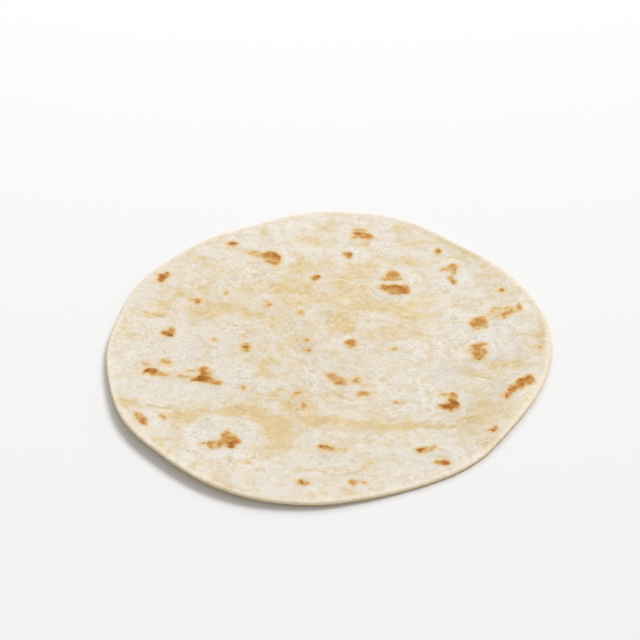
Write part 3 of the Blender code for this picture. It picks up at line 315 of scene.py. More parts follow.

# Painted light and shade where the sheet tips a little towards or away from the
# light, over some centimetres: the last number is by how many per cent.
PAINTED_SHADING = (
    (60.0, -38.1, 7.9, 6.2, 85, -8), (59.9, -49.8, 5.3, 3.9, 1, -5), (76.2, -26.5, 5.4, 4.0, 1, -9),
    (58.3, -14.7, 6.3, 4.1, 1, -7), (75.1, -5.4, 6.9, 5.4, 83, -4.5), (86.1, 3.4, 6.2, 3.2, 86, -6.5),
    (-11.4, 2.4, 6.2, 4.1, -90, -7), (-15.6, 16.3, 8.4, 4.6, -89, -4.5), (-26.4, 26.9, 6.5, 5.7, -3, -4),
    (-2.2, 22.7, 4.2, 2.8, 90, -6), (-63.9, -1.2, 6.2, 5.5, -85, -4.5), (-60.1, 21.1, 7.4, 4.9, 0, -4),
    (-67.6, -20.6, 6.3, 4.1, 3, -4), (-53.0, -26.8, 8.1, 3.6, -88, -5), (-35.9, -26.7, 7.2, 4.6, -1, -3.5),
    (-14.9, -24.0, 8.1, 5.3, 0, -4), (-12.6, -34.6, 4.6, 4.5, -84, -4), (11.8, -14.6, 7.2, 6.7, 4, -5.5),
    (3.6, -18.7, 6.7, 5.4, 89, -3), (-55.6, -51.2, 6.2, 4.7, 5, -5.5), (-36.1, -58.3, 5.3, 3.5, -89, -5),
    (-68.6, -56.9, 5.4, 3.1, -88, -4), (-44.3, -90.4, 6.1, 3.8, -19, -7), (-34.3, -97.5, 7.7, 2.6, -9, -5),
    (49.1, -68.1, 5.2, 3.8, 1, -5.5), (-3.2, -70.0, 3.8, 3.5, 87, -5), (65.0, 61.6, 8.0, 5.1, -70, -7),
    (71.9, 47.6, 7.7, 4.8, -77, -4), (81.9, 33.6, 7.9, 4.4, -68, -4.5), (57.8, 74.2, 8.8, 3.9, -46, -5),
    (77.5, 20.9, 3.7, 3.5, 16, -6), (103.2, 18.9, 7.9, 2.4, 67, -3), (-91.5, 43.3, 6.1, 3.0, 52, -5),
    (-56.0, 35.3, 9.3, 3.6, 1, -3.5), (-81.6, -10.9, 5.4, 4.2, 3, -4), (7.8, 1.7, 4.1, 2.7, 89, -5),
    (-49.4, 2.4, 4.8, 3.2, -87, -3), (85.7, -18.6, 6.4, 6.1, 24, -3.5), (67.8, -59.0, 6.7, 3.5, 32, -3.5),
    (-30.9, -6.5, 5.4, 4.1, -88, -1.5), (38.3, 27.6, 7.8, 5.6, 87, 8), (28.1, 31.9, 4.7, 3.6, 2, 4),
    (-13.9, 34.8, 7.5, 4.3, 0, 4), (7.1, 32.7, 5.0, 4.7, 87, 5), (-6.9, 67.8, 4.8, 3.7, 0, 4.5),
    (-48.8, 78.1, 6.0, 4.8, -87, 5.5), (-23.5, 57.4, 4.4, 3.8, -87, 5.5), (-82.6, 26.0, 6.5, 4.9, 2, 6),
    (-51.9, 23.3, 3.5, 2.8, -86, 4.5), (20.5, -34.6, 6.2, 5.2, 2, 3.5), (-25.7, -48.9, 4.0, 2.6, 0, 7),
    (-45.0, -54.7, 4.0, 2.2, -89, 5), (-36.6, -75.5, 5.9, 4.3, 90, 5), (89.5, -28.1, 7.4, 4.5, 85, 8),
    (83.2, -43.2, 10.2, 4.6, 56, 8), (68.5, -71.6, 13.2, 4.8, 43, 8), (50.6, -85.0, 11.8, 4.1, 23, 6),
    (37.5, -91.1, 13.1, 4.2, 12, 8), (24.8, -82.5, 4.4, 4.3, 59, 5.5), (1.9, -80.8, 14.7, 4.4, 1, 3.5),
    (32.7, -60.4, 6.4, 5.7, 83, 5), (41.5, -60.5, 5.1, 3.1, 87, 4), (-76.0, -72.7, 13.0, 2.9, -41, 1.5),
    (-88.6, -58.2, 8.0, 2.6, -57, 1), (-98.2, -32.5, 14.1, 2.2, -86, 5), (-102.0, -3.1, 21.2, 1.8, -86, 4),
    (91.1, 31.3, 6.4, 3.7, 85, 7), (44.7, -3.1, 7.3, 6.1, 5, 3.5), (59.2, -5.2, 4.2, 4.0, 45, 4),
    (12.1, 61.8, 14.3, 10.3, 0, 2.5), (-15.1, 79.7, 14.4, 9.0, -1, 3), (-2.1, 96.9, 30.2, 4.5, -1, 3.5),
    (-20.1, 91.7, 14.7, 6.0, 13, 4), (4.7, 15.6, 8.3, 4.2, 0, 4), (32.3, 9.3, 4.9, 3.7, 87, 5),
    (46.3, 16.3, 7.0, 4.6, 87, 3), (51.6, 34.0, 8.4, 4.3, 0, 3.5), (-95.8, 14.9, 7.0, 5.0, -86, 3),
    (-72.5, 8.9, 9.2, 5.6, 1, 2.5), (6.5, -47.5, 4.4, 3.9, 1, 4), (-10.7, -48.8, 3.5, 3.2, -1, 4.5),
    (-6.8, -2.4, 5.5, 4.1, -90, -4), (8.3, 0.3, 4.1, 2.7, 89, -3.5), (49.2, -18.0, 6.0, 2.7, 87, -6),
    (63.4, -13.4, 4.5, 3.4, 2, -4), (71.3, -35.0, 6.0, 3.1, 86, -6), (84.9, -1.4, 6.2, 2.7, 86, -4.5),
    (79.8, 13.9, 6.0, 4.2, 1, -4.5), (-28.1, 78.2, 7.5, 3.4, -89, -4.5), (-61.4, 56.2, 4.4, 2.8, -88, -4.5),
    (-58.4, 63.7, 5.2, 3.7, 1, -3), (31.0, 36.3, 6.6, 3.6, 1, -5), (25.6, 44.2, 4.4, 1.9, 89, -4),
    (-46.3, -67.4, 4.4, 2.7, 4, -5), (-62.1, -10.8, 5.5, 3.2, -87, -4.5), (-49.7, -3.1, 5.5, 4.1, -86, -3.5),
    (-43.8, -18.7, 5.4, 3.6, -87, -4.5), (-37.3, -7.2, 4.1, 3.2, -87, -4), (-55.2, -52.5, 6.7, 4.4, -89, -3.5),
    (-43.4, -47.3, 5.7, 3.3, 2, -4), (-12.6, -35.9, 5.2, 4.0, -89, -4), (-1.9, -45.0, 5.2, 2.7, 90, -5),
    (-1.8, -11.3, 7.4, 5.4, 90, -3), (-16.4, -52.7, 3.9, 3.5, -89, -4), (-3.6, 7.2, 4.2, 3.7, 90, -4),
    (-24.2, -0.4, 6.9, 3.2, -89, -2), (-26.9, 26.9, 3.7, 3.6, -9, -3), (-94.0, -29.3, 5.6, 4.0, -88, -4),
    (-76.3, -25.9, 6.3, 4.8, 5, -2.5), (47.0, -54.1, 5.1, 2.6, 87, -4), (-0.2, -73.2, 6.9, 5.1, 1, -2.5),
    (-20.6, 46.4, 4.4, 3.3, -89, 4.5), (-74.7, -13.4, 6.3, 4.1, 3, 3.5), (81.2, 29.3, 3.6, 3.2, 77, 5),
    (61.1, 27.5, 3.7, 3.5, 17, 4.5), (25.6, -44.3, 7.1, 3.9, 0, 3.5), (66.8, -78.4, 10.0, 4.3, 42, 4),
    (47.0, -86.8, 11.0, 3.5, 26, 4), (93.5, -22.2, 5.4, 3.6, 84, 8), (-8.9, -61.7, 3.9, 3.5, 89, 2.5),
    (54.6, 39.8, 3.8, 3.6, 19, 3), (-50.0, 21.9, 4.2, 3.2, -86, 3), (-69.7, 27.2, 3.7, 3.5, -5, 3.5),
    (7.3, 53.7, 6.6, 3.8, 89, 3), (70.4, 37.4, 4.3, 3.7, 82, 3), (-34.7, -83.9, 4.3, 3.9, 12, 4),
    (-54.1, -80.6, 6.1, 3.9, -15, 4), (-2.4, -96.6, 6.0, 3.1, 2, 5), (-8.0, -93.6, 3.4, 3.1, 11, 3),
    (-64.0, 2.2, 10.1, 8.3, -1, -2.5), (-64.9, -30.0, 11.6, 5.5, 3, -2.5), (-36.7, 10.7, 18.4, 4.9, 0, -2),
    (50.1, -18.0, 6.7, 5.4, 85, -3), (60.8, -49.2, 6.2, 3.9, 0, -3), (75.3, -41.7, 6.2, 5.2, 3, -3),
    (41.8, -50.9, 6.2, 3.2, 0, -3), (82.2, -8.3, 5.6, 5.3, 48, -2.5), (47.3, -79.4, 9.5, 5.1, 36, 3),
)

# Blisters that fell back, as low plateaus: (x, y, half length, half width, angle,
# height).
DOMES = (
    (29.9, 45.7, 10.9, 9.9, 83, 0.20), (-47.9, -60.2, 15.8, 15.3, 24, 0.13), (58.0, 53.6, 11.0, 7.1, 86, 0.21),
    (68.5, -1.9, 8.3, 7.3, 80, 0.18), (-81.7, -49.1, 7.1, 5.4, -54, 0.15), (-73.0, -47.0, 4.8, 4.0, 89, 0.10),
    (53.4, -36.7, 8.5, 7.1, 84, 0.18), (84.3, -26.0, 11.1, 4.9, 50, 0.18), (45.9, -70.6, 10.6, 7.4, -21, 0.15),
    (8.1, -23.3, 16.2, 11.3, -33, 0.11), (-78.6, 49.0, 5.8, 5.2, -87, 0.12), (-74.5, 10.9, 6.3, 6.0, -80, 0.12),
    (-79.9, -16.4, 10.2, 6.7, -19, 0.12), (-56.4, -18.8, 9.9, 7.5, 1, 0.14), (68.5, 18.2, 6.9, 6.3, 9, 0.12),
    (82.8, 24.3, 10.4, 5.7, 35, 0.12), (-26.9, 64.8, 8.2, 7.6, -84, 0.14), (-6.4, 50.1, 4.4, 3.8, -90, 0.08),
    (8.8, 67.0, 5.2, 4.3, 89, 0.10), (15.7, 81.8, 7.7, 6.7, 1, 0.14), (51.4, 69.8, 5.2, 3.8, 86, 0.13),
    (-10.0, 2.4, 5.2, 3.0, -90, 0.10), (-13.5, -34.6, 5.9, 4.0, -89, 0.10), (9.7, 3.8, 5.0, 4.8, 6, 0.12),
    (-1.9, -64.9, 6.1, 4.5, 1, 0.10), (-11.8, -87.4, 3.9, 3.8, 33, 0.08), (11.4, -86.9, 5.6, 3.8, 2, 0.08),
    (71.1, -53.9, 4.0, 3.8, 22, 0.08), (-62.0, 33.8, 4.3, 3.7, -85, 0.08), (-46.8, 75.9, 4.5, 3.4, -87, 0.08),
    (-38.4, 1.0, 4.8, 2.7, -88, 0.08), (80.9, 40.9, 3.6, 2.8, 84, 0.07), (4.8, 39.1, 10.3, 10.1, 9, 0.12),
    (41.1, -1.0, 11.0, 9.6, 6, 0.12), (-27.6, 12.8, 10.1, 8.4, -2, 0.12), (-49.5, 52.1, 12.3, 8.8, 0, 0.10),
    (78.0, 5.6, 13.8, 10.1, 84, 0.14),
)

# Shallow folds of the upper face: (height, half width, painted light, points). A
# groove has a negative height. Painted light above 0 is painted shade, darker and
# yellower, in a groove; below 0 it is a painted highlight on a ridge.
FOLDS = (
    (-0.07, 0.9, 0.5, ((-97.9, -36.1), (-89.9, -37.4), (-79.1, -40.3), (-68.4, -41.6))),
    (-0.05, 0.9, 0.3, ((-75.5, -40.9), (-66.6, -41.7), (-54.2, -42.4), (-46.2, -42.7))),
    (0.06, 0.8, -0.2, ((-96.9, -38.8), (-88.8, -40.4), (-78.1, -42.9), (-66.5, -44.1), (-54.1, -44.4))),
    (-0.05, 1.1, 0.3, ((28.5, -52.4), (38.7, -51.5), (44.8, -53.4), (51.4, -52.2), (59.0, -50.4))),
    (0.05, 0.8, -0.2, ((30.7, -54.6), (39.5, -54.0), (45.1, -56.0), (52.6, -54.8))),
    (-0.05, 0.6, 0.4, ((46.9, -66.2), (51.2, -68.2), (54.5, -72.0), (56.5, -77.0))),
    (0.07, 0.7, -0.5, ((46.1, -64.3), (51.7, -66.3), (55.9, -70.1), (58.3, -75.8))),
    (-0.14, 0.6, 0.9, ((1.7, -30.4), (4.0, -32.2), (6.6, -34.2))),
    (0.10, 0.6, -0.8, ((2.4, -29.0), (4.9, -30.9), (7.5, -33.1))),
    (0.05, 0.8, -0.2, ((-11.3, -13.3), (-9.9, -18.0), (-8.1, -24.0), (-6.8, -29.3))),
    (0.08, 0.7, -0.4, ((-8.6, -14.6), (-7.2, -20.7), (-4.5, -27.3))),
    (-0.06, 0.6, 0.4, ((-11.3, -9.2), (-10.0, -14.0), (-8.1, -21.3), (-5.9, -27.3))),
    (0.07, 0.7, -0.4, ((-2.3, -29.3), (1.7, -33.9), (7.9, -36.5), (14.2, -35.2), (18.7, -31.9))),
    (-0.05, 0.7, 0.4, ((-0.2, -84.0), (6.3, -82.0), (13.6, -80.0), (20.1, -77.5))),
    (-0.03, 0.7, 0.3, ((-43.5, -74.2), (-35.8, -73.5), (-29.7, -71.9), (-23.7, -68.4), (-20.2, -65.1))),
    (-0.03, 0.7, 0.3, ((-19.2, -79.3), (-11.0, -79.7), (-1.1, -78.3), (6.3, -76.9), (12.0, -74.4))),
    (-0.05, 0.8, 0.6, ((-46.4, -38.0), (-41.9, -39.3), (-37.4, -41.2), (-32.5, -42.4))),
    (0.04, 0.6, -0.2, ((-14.1, -2.4), (-12.7, -7.9), (-10.9, -15.3), (-7.7, -21.3), (-4.5, -25.3))),
    (-0.04, 0.6, 0.3, ((-13.2, -2.4), (-11.3, -9.2), (-9.0, -16.0), (-5.9, -22.0))),
    (0.07, 0.6, -0.6, ((61.3, -18.1), (67.5, -20.9), (73.7, -23.7), (78.4, -27.2))),
    (-0.04, 0.6, 0.5, ((-92.4, 26.6), (-87.2, 25.1), (-81.1, 22.9), (-75.9, 22.1))),
    (0.06, 0.6, -0.5, ((-91.1, 28.4), (-85.9, 26.9), (-79.8, 25.1))),
    (0.06, 0.6, -0.5, ((39.5, -23.3), (41.1, -30.0), (41.8, -37.2))),
    (0.06, 0.6, -0.5, ((3.5, -33.9), (9.7, -36.5), (16.0, -36.5))),
    (-0.05, 0.6, 0.4, ((63.1, -18.2), (69.4, -20.3), (75.5, -23.8), (79.7, -27.2))),
    (0.08, 0.6, -0.6, ((79.8, 13.9), (82.9, 18.0), (85.9, 21.8))),
    (0.07, 0.6, -0.5, ((76.9, 11.1), (80.0, 16.0), (82.5, 20.1))),
    (0.07, 0.8, -0.4, ((37.1, -14.6), (34.9, -26.7), (32.8, -38.5), (31.7, -47.6))),
    (-0.04, 0.7, 0.3, ((38.9, -16.0), (37.1, -28.0), (35.5, -39.8), (34.4, -47.6))),
    (0.07, 0.8, -0.4, ((43.8, -29.3), (41.7, -38.5), (40.1, -48.9))),
    (-0.04, 0.7, 0.3, ((45.6, -29.3), (43.5, -39.8), (42.3, -48.9))),
    (0.07, 0.8, -0.4, ((48.4, -25.4), (46.3, -34.6), (44.6, -45.1))),
    (0.09, 0.7, -0.6, ((40.7, -16.0), (39.5, -24.0), (38.3, -33.3))),
    (0.07, 0.7, -0.4, ((91.6, 46.4), (94.4, 39.1), (96.7, 31.1), (97.9, 21.9))),
    (-0.05, 0.7, 0.3, ((89.2, 45.8), (92.0, 38.4), (94.3, 30.5), (95.1, 21.9))),
    (0.05, 0.6, -0.3, ((-39.2, -73.0), (-29.6, -75.8), (-19.7, -74.2), (-13.2, -69.5))),
    (0.05, 0.6, -0.3, ((-63.4, -55.8), (-60.1, -50.2), (-54.5, -45.8), (-47.1, -44.1))),
    (0.05, 0.6, -0.3, ((-60.6, -59.7), (-57.7, -54.1), (-52.6, -49.0), (-46.1, -47.4))),
    (0.05, 0.6, -0.3, ((-35.4, -49.1), (-30.9, -54.2), (-29.9, -62.1), (-32.8, -68.7))),
    (-0.05, 0.6, 0.4, ((-84.8, 23.8), (-78.7, 22.3), (-73.1, 22.2), (-67.7, 23.7))),
    (-0.04, 0.6, 0.4, ((15.1, 31.2), (23.4, 27.6), (30.8, 24.1), (38.1, 19.8), (45.3, 14.9))),
    (-0.04, 0.6, 0.3, ((14.0, 22.7), (23.2, 19.1), (33.3, 14.9), (41.5, 10.0), (47.3, 5.9))),
    (-0.04, 0.6, 0.3, ((-60.5, 30.2), (-48.9, 31.2), (-38.5, 29.1), (-30.1, 24.8), (-20.7, 19.8))),
    (0.05, 0.7, -0.3, ((20.3, 66.9), (25.6, 69.9), (30.4, 71.3), (35.6, 69.1))),
    (-0.05, 0.6, 0.4, ((21.4, -76.8), (23.1, -80.6), (25.7, -82.5))),
    (0.05, 0.6, -0.3, ((75.6, -36.4), (80.0, -38.5), (84.6, -35.4), (89.4, -29.5))),
    (-0.04, 0.5, 0.4, ((76.6, -34.5), (80.6, -35.9), (84.8, -32.7), (88.6, -28.1))),
    (-0.04, 0.5, 0.5, ((61.0, -5.9), (63.5, -10.0), (67.5, -12.1), (72.1, -10.1))),
    (0.05, 0.6, -0.4, ((60.4, -8.6), (63.9, -12.7), (68.3, -14.8), (72.9, -12.2))),
)

# ------------------------------------------------------------------- noise
def lattice_random(i, j, seed):
    """A repeatable random number in -1 to 1 for each lattice point."""
    n = i.astype(np.int64) * 374761393 + j.astype(np.int64) * 668265263 + seed * 2246822519
    n &= 0xFFFFFFFF
    n = ((n ^ (n >> 13)) * 1274126177) & 0xFFFFFFFF
    n = ((n ^ (n >> 16)) * 2654435761) & 0xFFFFFFFF
    return ((n ^ (n >> 15)) & 0xFFFFFF) / 8388607.5 - 1.0


def noise(x, y, wave, seed):
    """Smooth gradient noise of about -1 to 1, one bump in each wave length."""
    x, y = x / wave + 37.3 * seed, y / wave - 11.7 * seed
    i, j = np.floor(x), np.floor(y)
    fx, fy = x - i, y - j
    total = 0.0
    ux, uy = (f * f * f * (f * (6.0 * f - 15.0) + 10.0) for f in (fx, fy))
    for a in (0, 1):
        for b in (0, 1):
            turn = math.pi * lattice_random(i + a, j + b, seed)
            slope = np.cos(turn) * (fx - a) + np.sin(turn) * (fy - b)
            total = total + slope * (ux if a else 1.0 - ux) * (uy if b else 1.0 - uy)
    return 1.5 * total


def layers(x, y, wave, seed, count=3, keep=0.5):
    """Noise with finer noise on it."""
    total, size, most = 0.0, 1.0, 0.0
    for k in range(count):
        total = total + size * noise(x, y, wave / 2.0 ** k, seed + k)
        most += size
        size *= keep
    return total / most


def smooth(value, low, high):
    share = np.clip((value - low) / (high - low), 0.0, 1.0)
    return share * share * (3.0 - 2.0 * share)


# -------------------------------------------------------------- the solid
def thickness(radius):
    return THICKNESS + (EDGE_THICKNESS - THICKNESS) * smooth(radius, THIN_FROM, MEAN_RADIUS)


def edge_radius(angle):
    return MEAN_RADIUS + sum(
        size * np.cos(count * angle - math.radians(direction)) for count, size, direction in LOBES
    )


def stretched(radius, angle):
    share = radius / MEAN_RADIUS
    out = radius * (1.0 + (edge_radius(angle) / MEAN_RADIUS - 1.0) * np.minimum(share, 1.0) ** 2)
    return out * np.cos(angle), out * np.sin(angle)


def lift(radius, angle):
    rim = sum(
        height * np.exp(narrow * (np.cos(angle - math.radians(direction)) - 1.0))
        for height, direction, narrow in LIFTS
    )
    share = np.maximum((radius - REST_RADIUS) / (MEAN_RADIUS - REST_RADIUS), 0.0)
    return rim * share ** LIFT_CURVE


def blister(x, y):
    height = 0.0
    for cx, cy, rx, ry, top in BLISTERS:
        far = ((x - cx) / rx) ** 2 + ((y - cy) / ry) ** 2
        height = height + top * np.clip(1.0 - far, 0.0, None) ** 2
    return height


def bounding_centre():
    """Centre of the solid's outline, which is the origin."""
    angle = np.arange(120) * math.tau / 120
    x, y = stretched(99.2 + 0.8 * math.cos(math.radians(18.0)), angle)
    return (x.min() + x.max()) / 2.0, (y.min() + y.max()) / 2.0


# ---------------------------------------------------------------- the mesh
RINGS_TOP = 156           # rings of the upper face, ring k has 6k points
RINGS_UNDER = 78
LIP = EDGE_THICKNESS / 2.0
LIP_START = MEAN_RADIUS - LIP
LIP_STEPS = 6
UNDER_RADIUS = 98.0       # outermost ring of the underside's own points


def disc(rings, radius):
    """Radius and angle of each point of a disc made of rings of 6k points."""
    r, a = [np.zeros(1)], [np.zeros(1)]
    for k in range(1, rings + 1):
        r.append(np.full(6 * k, radius * k / rings))
        a.append(np.arange(6 * k) * math.tau / (6 * k))
    return np.concatenate(r), np.concatenate(a)


def ring_start(k):
    return 0 if k == 0 else 1 + 3 * k * (k - 1)


def disc_faces(rings):
    """Triangles of such a disc, facing up."""
    faces = []
    for k in range(1, rings + 1):
        inner, outer = ring_start(k - 1), ring_start(k)
        n_in, n_out = max(6 * (k - 1), 1), 6 * k
        s = np.repeat(np.arange(6), k)
        i = np.tile(np.arange(k), 6)
        o0 = outer + (s * k + i) % n_out
        o1 = outer + (s * k + i + 1) % n_out
        q0 = inner + (s * (k - 1) + i) % n_in
        faces.append(np.stack([q0, o0, o1], 1))
        if k > 1:
            s = np.repeat(np.arange(6), k - 1)
            i = np.tile(np.arange(k - 1), 6)
            o1 = outer + (s * k + i + 1) % n_out
            q0 = inner + (s * (k - 1) + i) % n_in
            q1 = inner + (s * (k - 1) + i + 1) % n_in
            faces.append(np.stack([q0, o1, q1], 1))
    return np.concatenate(faces)


def build_lattice():
    """Radius, angle, height in the section, and triangles with their side:
    0 the upper face, 1 the lip's upper half, 2 its lower half, 3 the underside."""
    radius, angle = disc(RINGS_TOP, LIP_START)
    height = thickness(radius)
    faces = [disc_faces(RINGS_TOP)]
    side = [np.zeros(len(faces[0]), int)]
    around = 6 * RINGS_TOP
    ring = ring_start(RINGS_TOP)
    turn_angle = angle[ring:ring + around]
    base = len(radius)
    j = np.arange(around)
    nxt = (j + 1) % around
    parts_r, parts_a, parts_h = [radius], [angle], [height]
    for step in range(1, LIP_STEPS + 1):
        turn = math.radians(90.0 - 180.0 * step / LIP_STEPS)
        parts_r.append(np.full(around, LIP_START + LIP * math.cos(turn)))
        parts_a.append(turn_angle)
        parts_h.append(np.full(around, LIP + LIP * math.sin(turn)))
        upper = ring if step == 1 else base + (step - 2) * around
        lower = base + (step - 1) * around
        faces.append(np.stack([upper + j, lower + j, lower + nxt], 1))
        faces.append(np.stack([upper + j, lower + nxt, upper + nxt], 1))
        side += [np.full(2 * around, 1 if step <= LIP_STEPS // 2 else 2)]
    last = base + (LIP_STEPS - 1) * around
    under = base + LIP_STEPS * around
    r, a = disc(RINGS_UNDER, UNDER_RADIUS)
    parts_r.append(r)
    parts_a.append(a)
    parts_h.append(np.zeros(len(r)))
    low = under + ring_start(RINGS_UNDER)
    half = around // 2
    b = np.arange(half)
    a0, a1, a2 = last + 2 * b, last + 2 * b + 1, last + (2 * b + 2) % around
    b0, b1 = low + b, low + (b + 1) % half
    faces += [np.stack([a0, b0, a1], 1), np.stack([a1, b0, b1], 1), np.stack([a1, b1, a2], 1)]
    side.append(np.full(3 * half, 3))
    faces.append(under + disc_faces(RINGS_UNDER)[:, ::-1])
    side.append(np.full(len(faces[-1]), 3))
    return (
        np.concatenate(parts_r), np.concatenate(parts_a), np.concatenate(parts_h),
        np.concatenate(faces), np.concatenate(side), under,
    )


# ---------------------------------------------------------------- patches
def patch_depth(x, y, patch):
    """Share of the way out (1 on the edge) and depth inside the edge."""
    cx, cy, long, wide, angle = patch[:5]
    c, s = math.cos(math.radians(angle)), math.sin(math.radians(angle))
    u = ((x - cx) * c + (y - cy) * s) / long
    v = (-(x - cx) * s + (y - cy) * c) / wide
    share = np.hypot(u, v)
    slope = np.sqrt((u / long) ** 2 + (v / wide) ** 2) / np.maximum(share, 1e-6)
    return share, (1.0 - share) / np.maximum(slope, 1e-6)


def near(x, y, patch, reach):
    cx, cy, long, wide = patch[:4]
    return np.abs(x - cx) + np.abs(y - cy) < 1.5 * (max(long, wide) + reach)


def toast_fields(x, y, patches):
    """Depth inside the nearest toasted edge, and how brown it is there."""
    wx = x + 0.40 * noise(x, y, 2.8, 11) + 0.22 * noise(x, y, 1.4, 12)
    wy = y + 0.40 * noise(x, y, 2.8, 13) + 0.22 * noise(x, y, 1.4, 14)
    weight = np.full(len(x), 1e-9)
    brown = np.zeros(len(x))
    for patch in patches:
        pick = np.nonzero(near(x, y, patch, 4.0))[0]
        share, inside = patch_depth(wx[pick], wy[pick], patch)
        w = np.exp(2.4 * np.clip(inside, -4.0, 4.0))
        weight[pick] += w
        brown[pick] += w * patch[5]
    return np.clip(np.log(weight) / 2.4, -3.0, 3.0), brown / weight


def patch_field(x, y, patches, seed, sway, low, high):
    """Union of soft patches, with their edges swayed by noise."""
    wx = x + sway * layers(x, y, 11.0, seed) + 0.3 * sway * noise(x, y, 3.5, seed + 5)
    wy = y + sway * layers(x, y, 11.0, seed + 7) + 0.3 * sway * noise(x, y, 3.5, seed + 9)
    rest = np.ones(len(x))
    for patch in patches:
        pick = np.nonzero(near(x, y, patch, 8.0))[0]
        share, inside = patch_depth(wx[pick], wy[pick], patch)
        rest[pick] *= 1.0 - patch[5] * (1.0 - smooth(share, low, high))
    return 1.0 - rest


def painted_shading_field(x, y, patches):
    """Painted light and shade: a sum of soft lighter and darker patches, with their edges swayed by noise."""
    wx = x + 2.2 * layers(x, y, 11.0, 101)
    wy = y + 2.2 * layers(x, y, 11.0, 103)
    total = np.zeros(len(x))
    for patch in patches:
        pick = np.nonzero(near(x, y, patch, 2.0 * max(patch[2], patch[3])))[0]
        share, inside = patch_depth(wx[pick], wy[pick], patch)
        total[pick] += patch[5] * np.exp(-share * share)
    return total


def smooth_line(points, step=0.5):
    """Points every half millimetre on a smooth curve through these."""
    p = [np.array(q, float) for q in points]
    p = [2 * p[0] - p[1], *p, 2 * p[-1] - p[-2]]
    out = []
    for k in range(1, len(p) - 2):
        a, b, c, d = p[k - 1:k + 3]
        n = max(int(np.hypot(*(c - b)) / step), 1)
        for i in range(n):
            t = i / n
            out.append(0.5 * (2 * b + (c - a) * t + (2 * a - 5 * b + 4 * c - d) * t * t
                              + (3 * b - a - 3 * c + d) * t ** 3))
    out.append(p[-2])
    return np.array(out)


def fold_fields(x, y, folds):
    """Height of the folds, and their painted shade and highlight."""
    height, painted_fold_light = np.zeros(len(x)), np.zeros(len(x))
    for tall, half_width, painted_light_level, points in folds:
        line = smooth_line(points)
        low, high = line.min(0) - 4.0, line.max(0) + 4.0
        pick = np.nonzero((x > low[0]) & (x < high[0]) & (y > low[1]) & (y < high[1]))[0]
        if not len(pick):
            continue
        wx = x[pick] + 0.7 * noise(x[pick], y[pick], 7.0, 61) + 0.3 * noise(x[pick], y[pick], 2.5, 65)
        wy = y[pick] + 0.7 * noise(x[pick], y[pick], 7.0, 62) + 0.3 * noise(x[pick], y[pick], 2.5, 66)
        gap = (wx[:, None] - line[None, :, 0]) ** 2 + (wy[:, None] - line[None, :, 1]) ** 2
        at = gap.argmin(1)
        ends = smooth(np.minimum(at, len(line) - 1 - at) / max(len(line) - 1, 1), -0.02, 0.22)
        force = ends * np.exp(-gap.min(1) / half_width ** 2)
        # A fold comes and goes along its length, but a sharp nick doesn't.
        force *= np.clip(
            0.60 + 1.1 * noise(x[pick], y[pick], 5.5, 63) + 0.5 * noise(x[pick], y[pick], 2.2, 64),
            0.8 if abs(painted_light_level) > 0.8 else 0.0, 1.3,
        )
        height[pick] += 1.5 * tall * force
        painted_fold_light[pick] += 1.8 * painted_light_level * force
    return height, painted_fold_light


def dome_relief(x, y, domes):
    """Blisters that fell back: a low plateau with a shoulder, a faint ditch, flour on the shoulder and painted shade
    in the ditch.
    """
    height = np.zeros(len(x))
    ring_flour_and_shade = np.zeros(len(x))
    for dome in domes:
        pick = np.nonzero(near(x, y, dome, 5.0))[0]
        wx = x[pick] + 1.1 * noise(x[pick], y[pick], 8.0, 71) + 0.4 * noise(x[pick], y[pick], 2.8, 74)
        wy = y[pick] + 1.1 * noise(x[pick], y[pick], 8.0, 72) + 0.4 * noise(x[pick], y[pick], 2.8, 75)
        share, inside = patch_depth(wx, wy, dome)
        tall = dome[5]
        force = np.clip(
            0.50 + 1.0 * noise(x[pick], y[pick], 9.0, 73) + 0.7 * noise(x[pick], y[pick], 3.2, 76), 0.0, 1.2
        )
        height[pick] += tall * (1.0 - smooth(-inside, -2.2, 0.6))
        height[pick] += 0.35 * tall * force * np.exp(-((inside - 0.9) / 0.55) ** 2)
        height[pick] -= 0.40 * tall * force * np.exp(-((inside + 0.7) / 0.6) ** 2)
        ring_flour_and_shade[pick] += 3.2 * tall * force * (
            np.exp(-((inside - 0.6) / 0.55) ** 2) - 0.8 * np.exp(-((inside + 0.7) / 0.5) ** 2)
        )
    return height, ring_flour_and_shade


# ---------------------------------------------------------- build the piece
radius, angle, height, faces, side, under_from = build_lattice()
count = len(radius)
is_under = np.arange(count) >= under_from
upper = np.minimum(height / thickness(radius), 1.0)

# The edge is a little ragged.
cx, cy = bounding_centre()
ragged_x, ragged_y = 100.0 * np.cos(angle), 100.0 * np.sin(angle)
ragged = 0.30 * layers(ragged_x, ragged_y, 17.0, 21) + 0.14 * layers(ragged_x, ragged_y, 3.4, 25)
x, y = stretched(radius + ragged * smooth(radius, 92.0, 99.5), angle)
x, y = x - cx, y - cy
z = height + lift(radius, angle) + upper * blister(x, y)

# Relief of the upper face, which the lip takes up and the underside doesn't.
dome_height, dome_flour_and_shade = dome_relief(x, y, DOMES)
fold_height, fold_painted_light = fold_fields(x, y, FOLDS)
toast_depth, toast_brown = toast_fields(x, y, TOAST)
swell = 0.05 * layers(x, y, 34.0, 31, 2) + 0.03 * layers(x, y, 11.0, 33, 2)
wrinkle = 1.0 - np.abs(layers(x * 0.85, y * 1.1, 5.2, 41, 3, 0.6)) * 2.6
wrinkle = 0.060 * np.clip(wrinkle, -0.5, 1.0) * (0.35 + 0.65 * smooth(noise(x, y, 26.0, 44), -0.35, 0.5))
grain = 0.026 * noise(x, y, 1.9, 46) + 0.045 * noise(x, y, 3.1, 47)
toasted = smooth(toast_depth, -1.0, 0.8) * np.clip(toast_brown, 0.0, 1.0)
bead = 0.16 * np.exp(-((radius - 98.3) / 1.1) ** 2) * (0.7 + 0.5 * noise(ragged_x, ragged_y, 8.0, 27))
relief = dome_height + fold_height + swell + wrinkle + grain + bead
relief += toasted * (0.05 + 0.06 * noise(x, y, 1.6, 48))
z = z + relief * upper

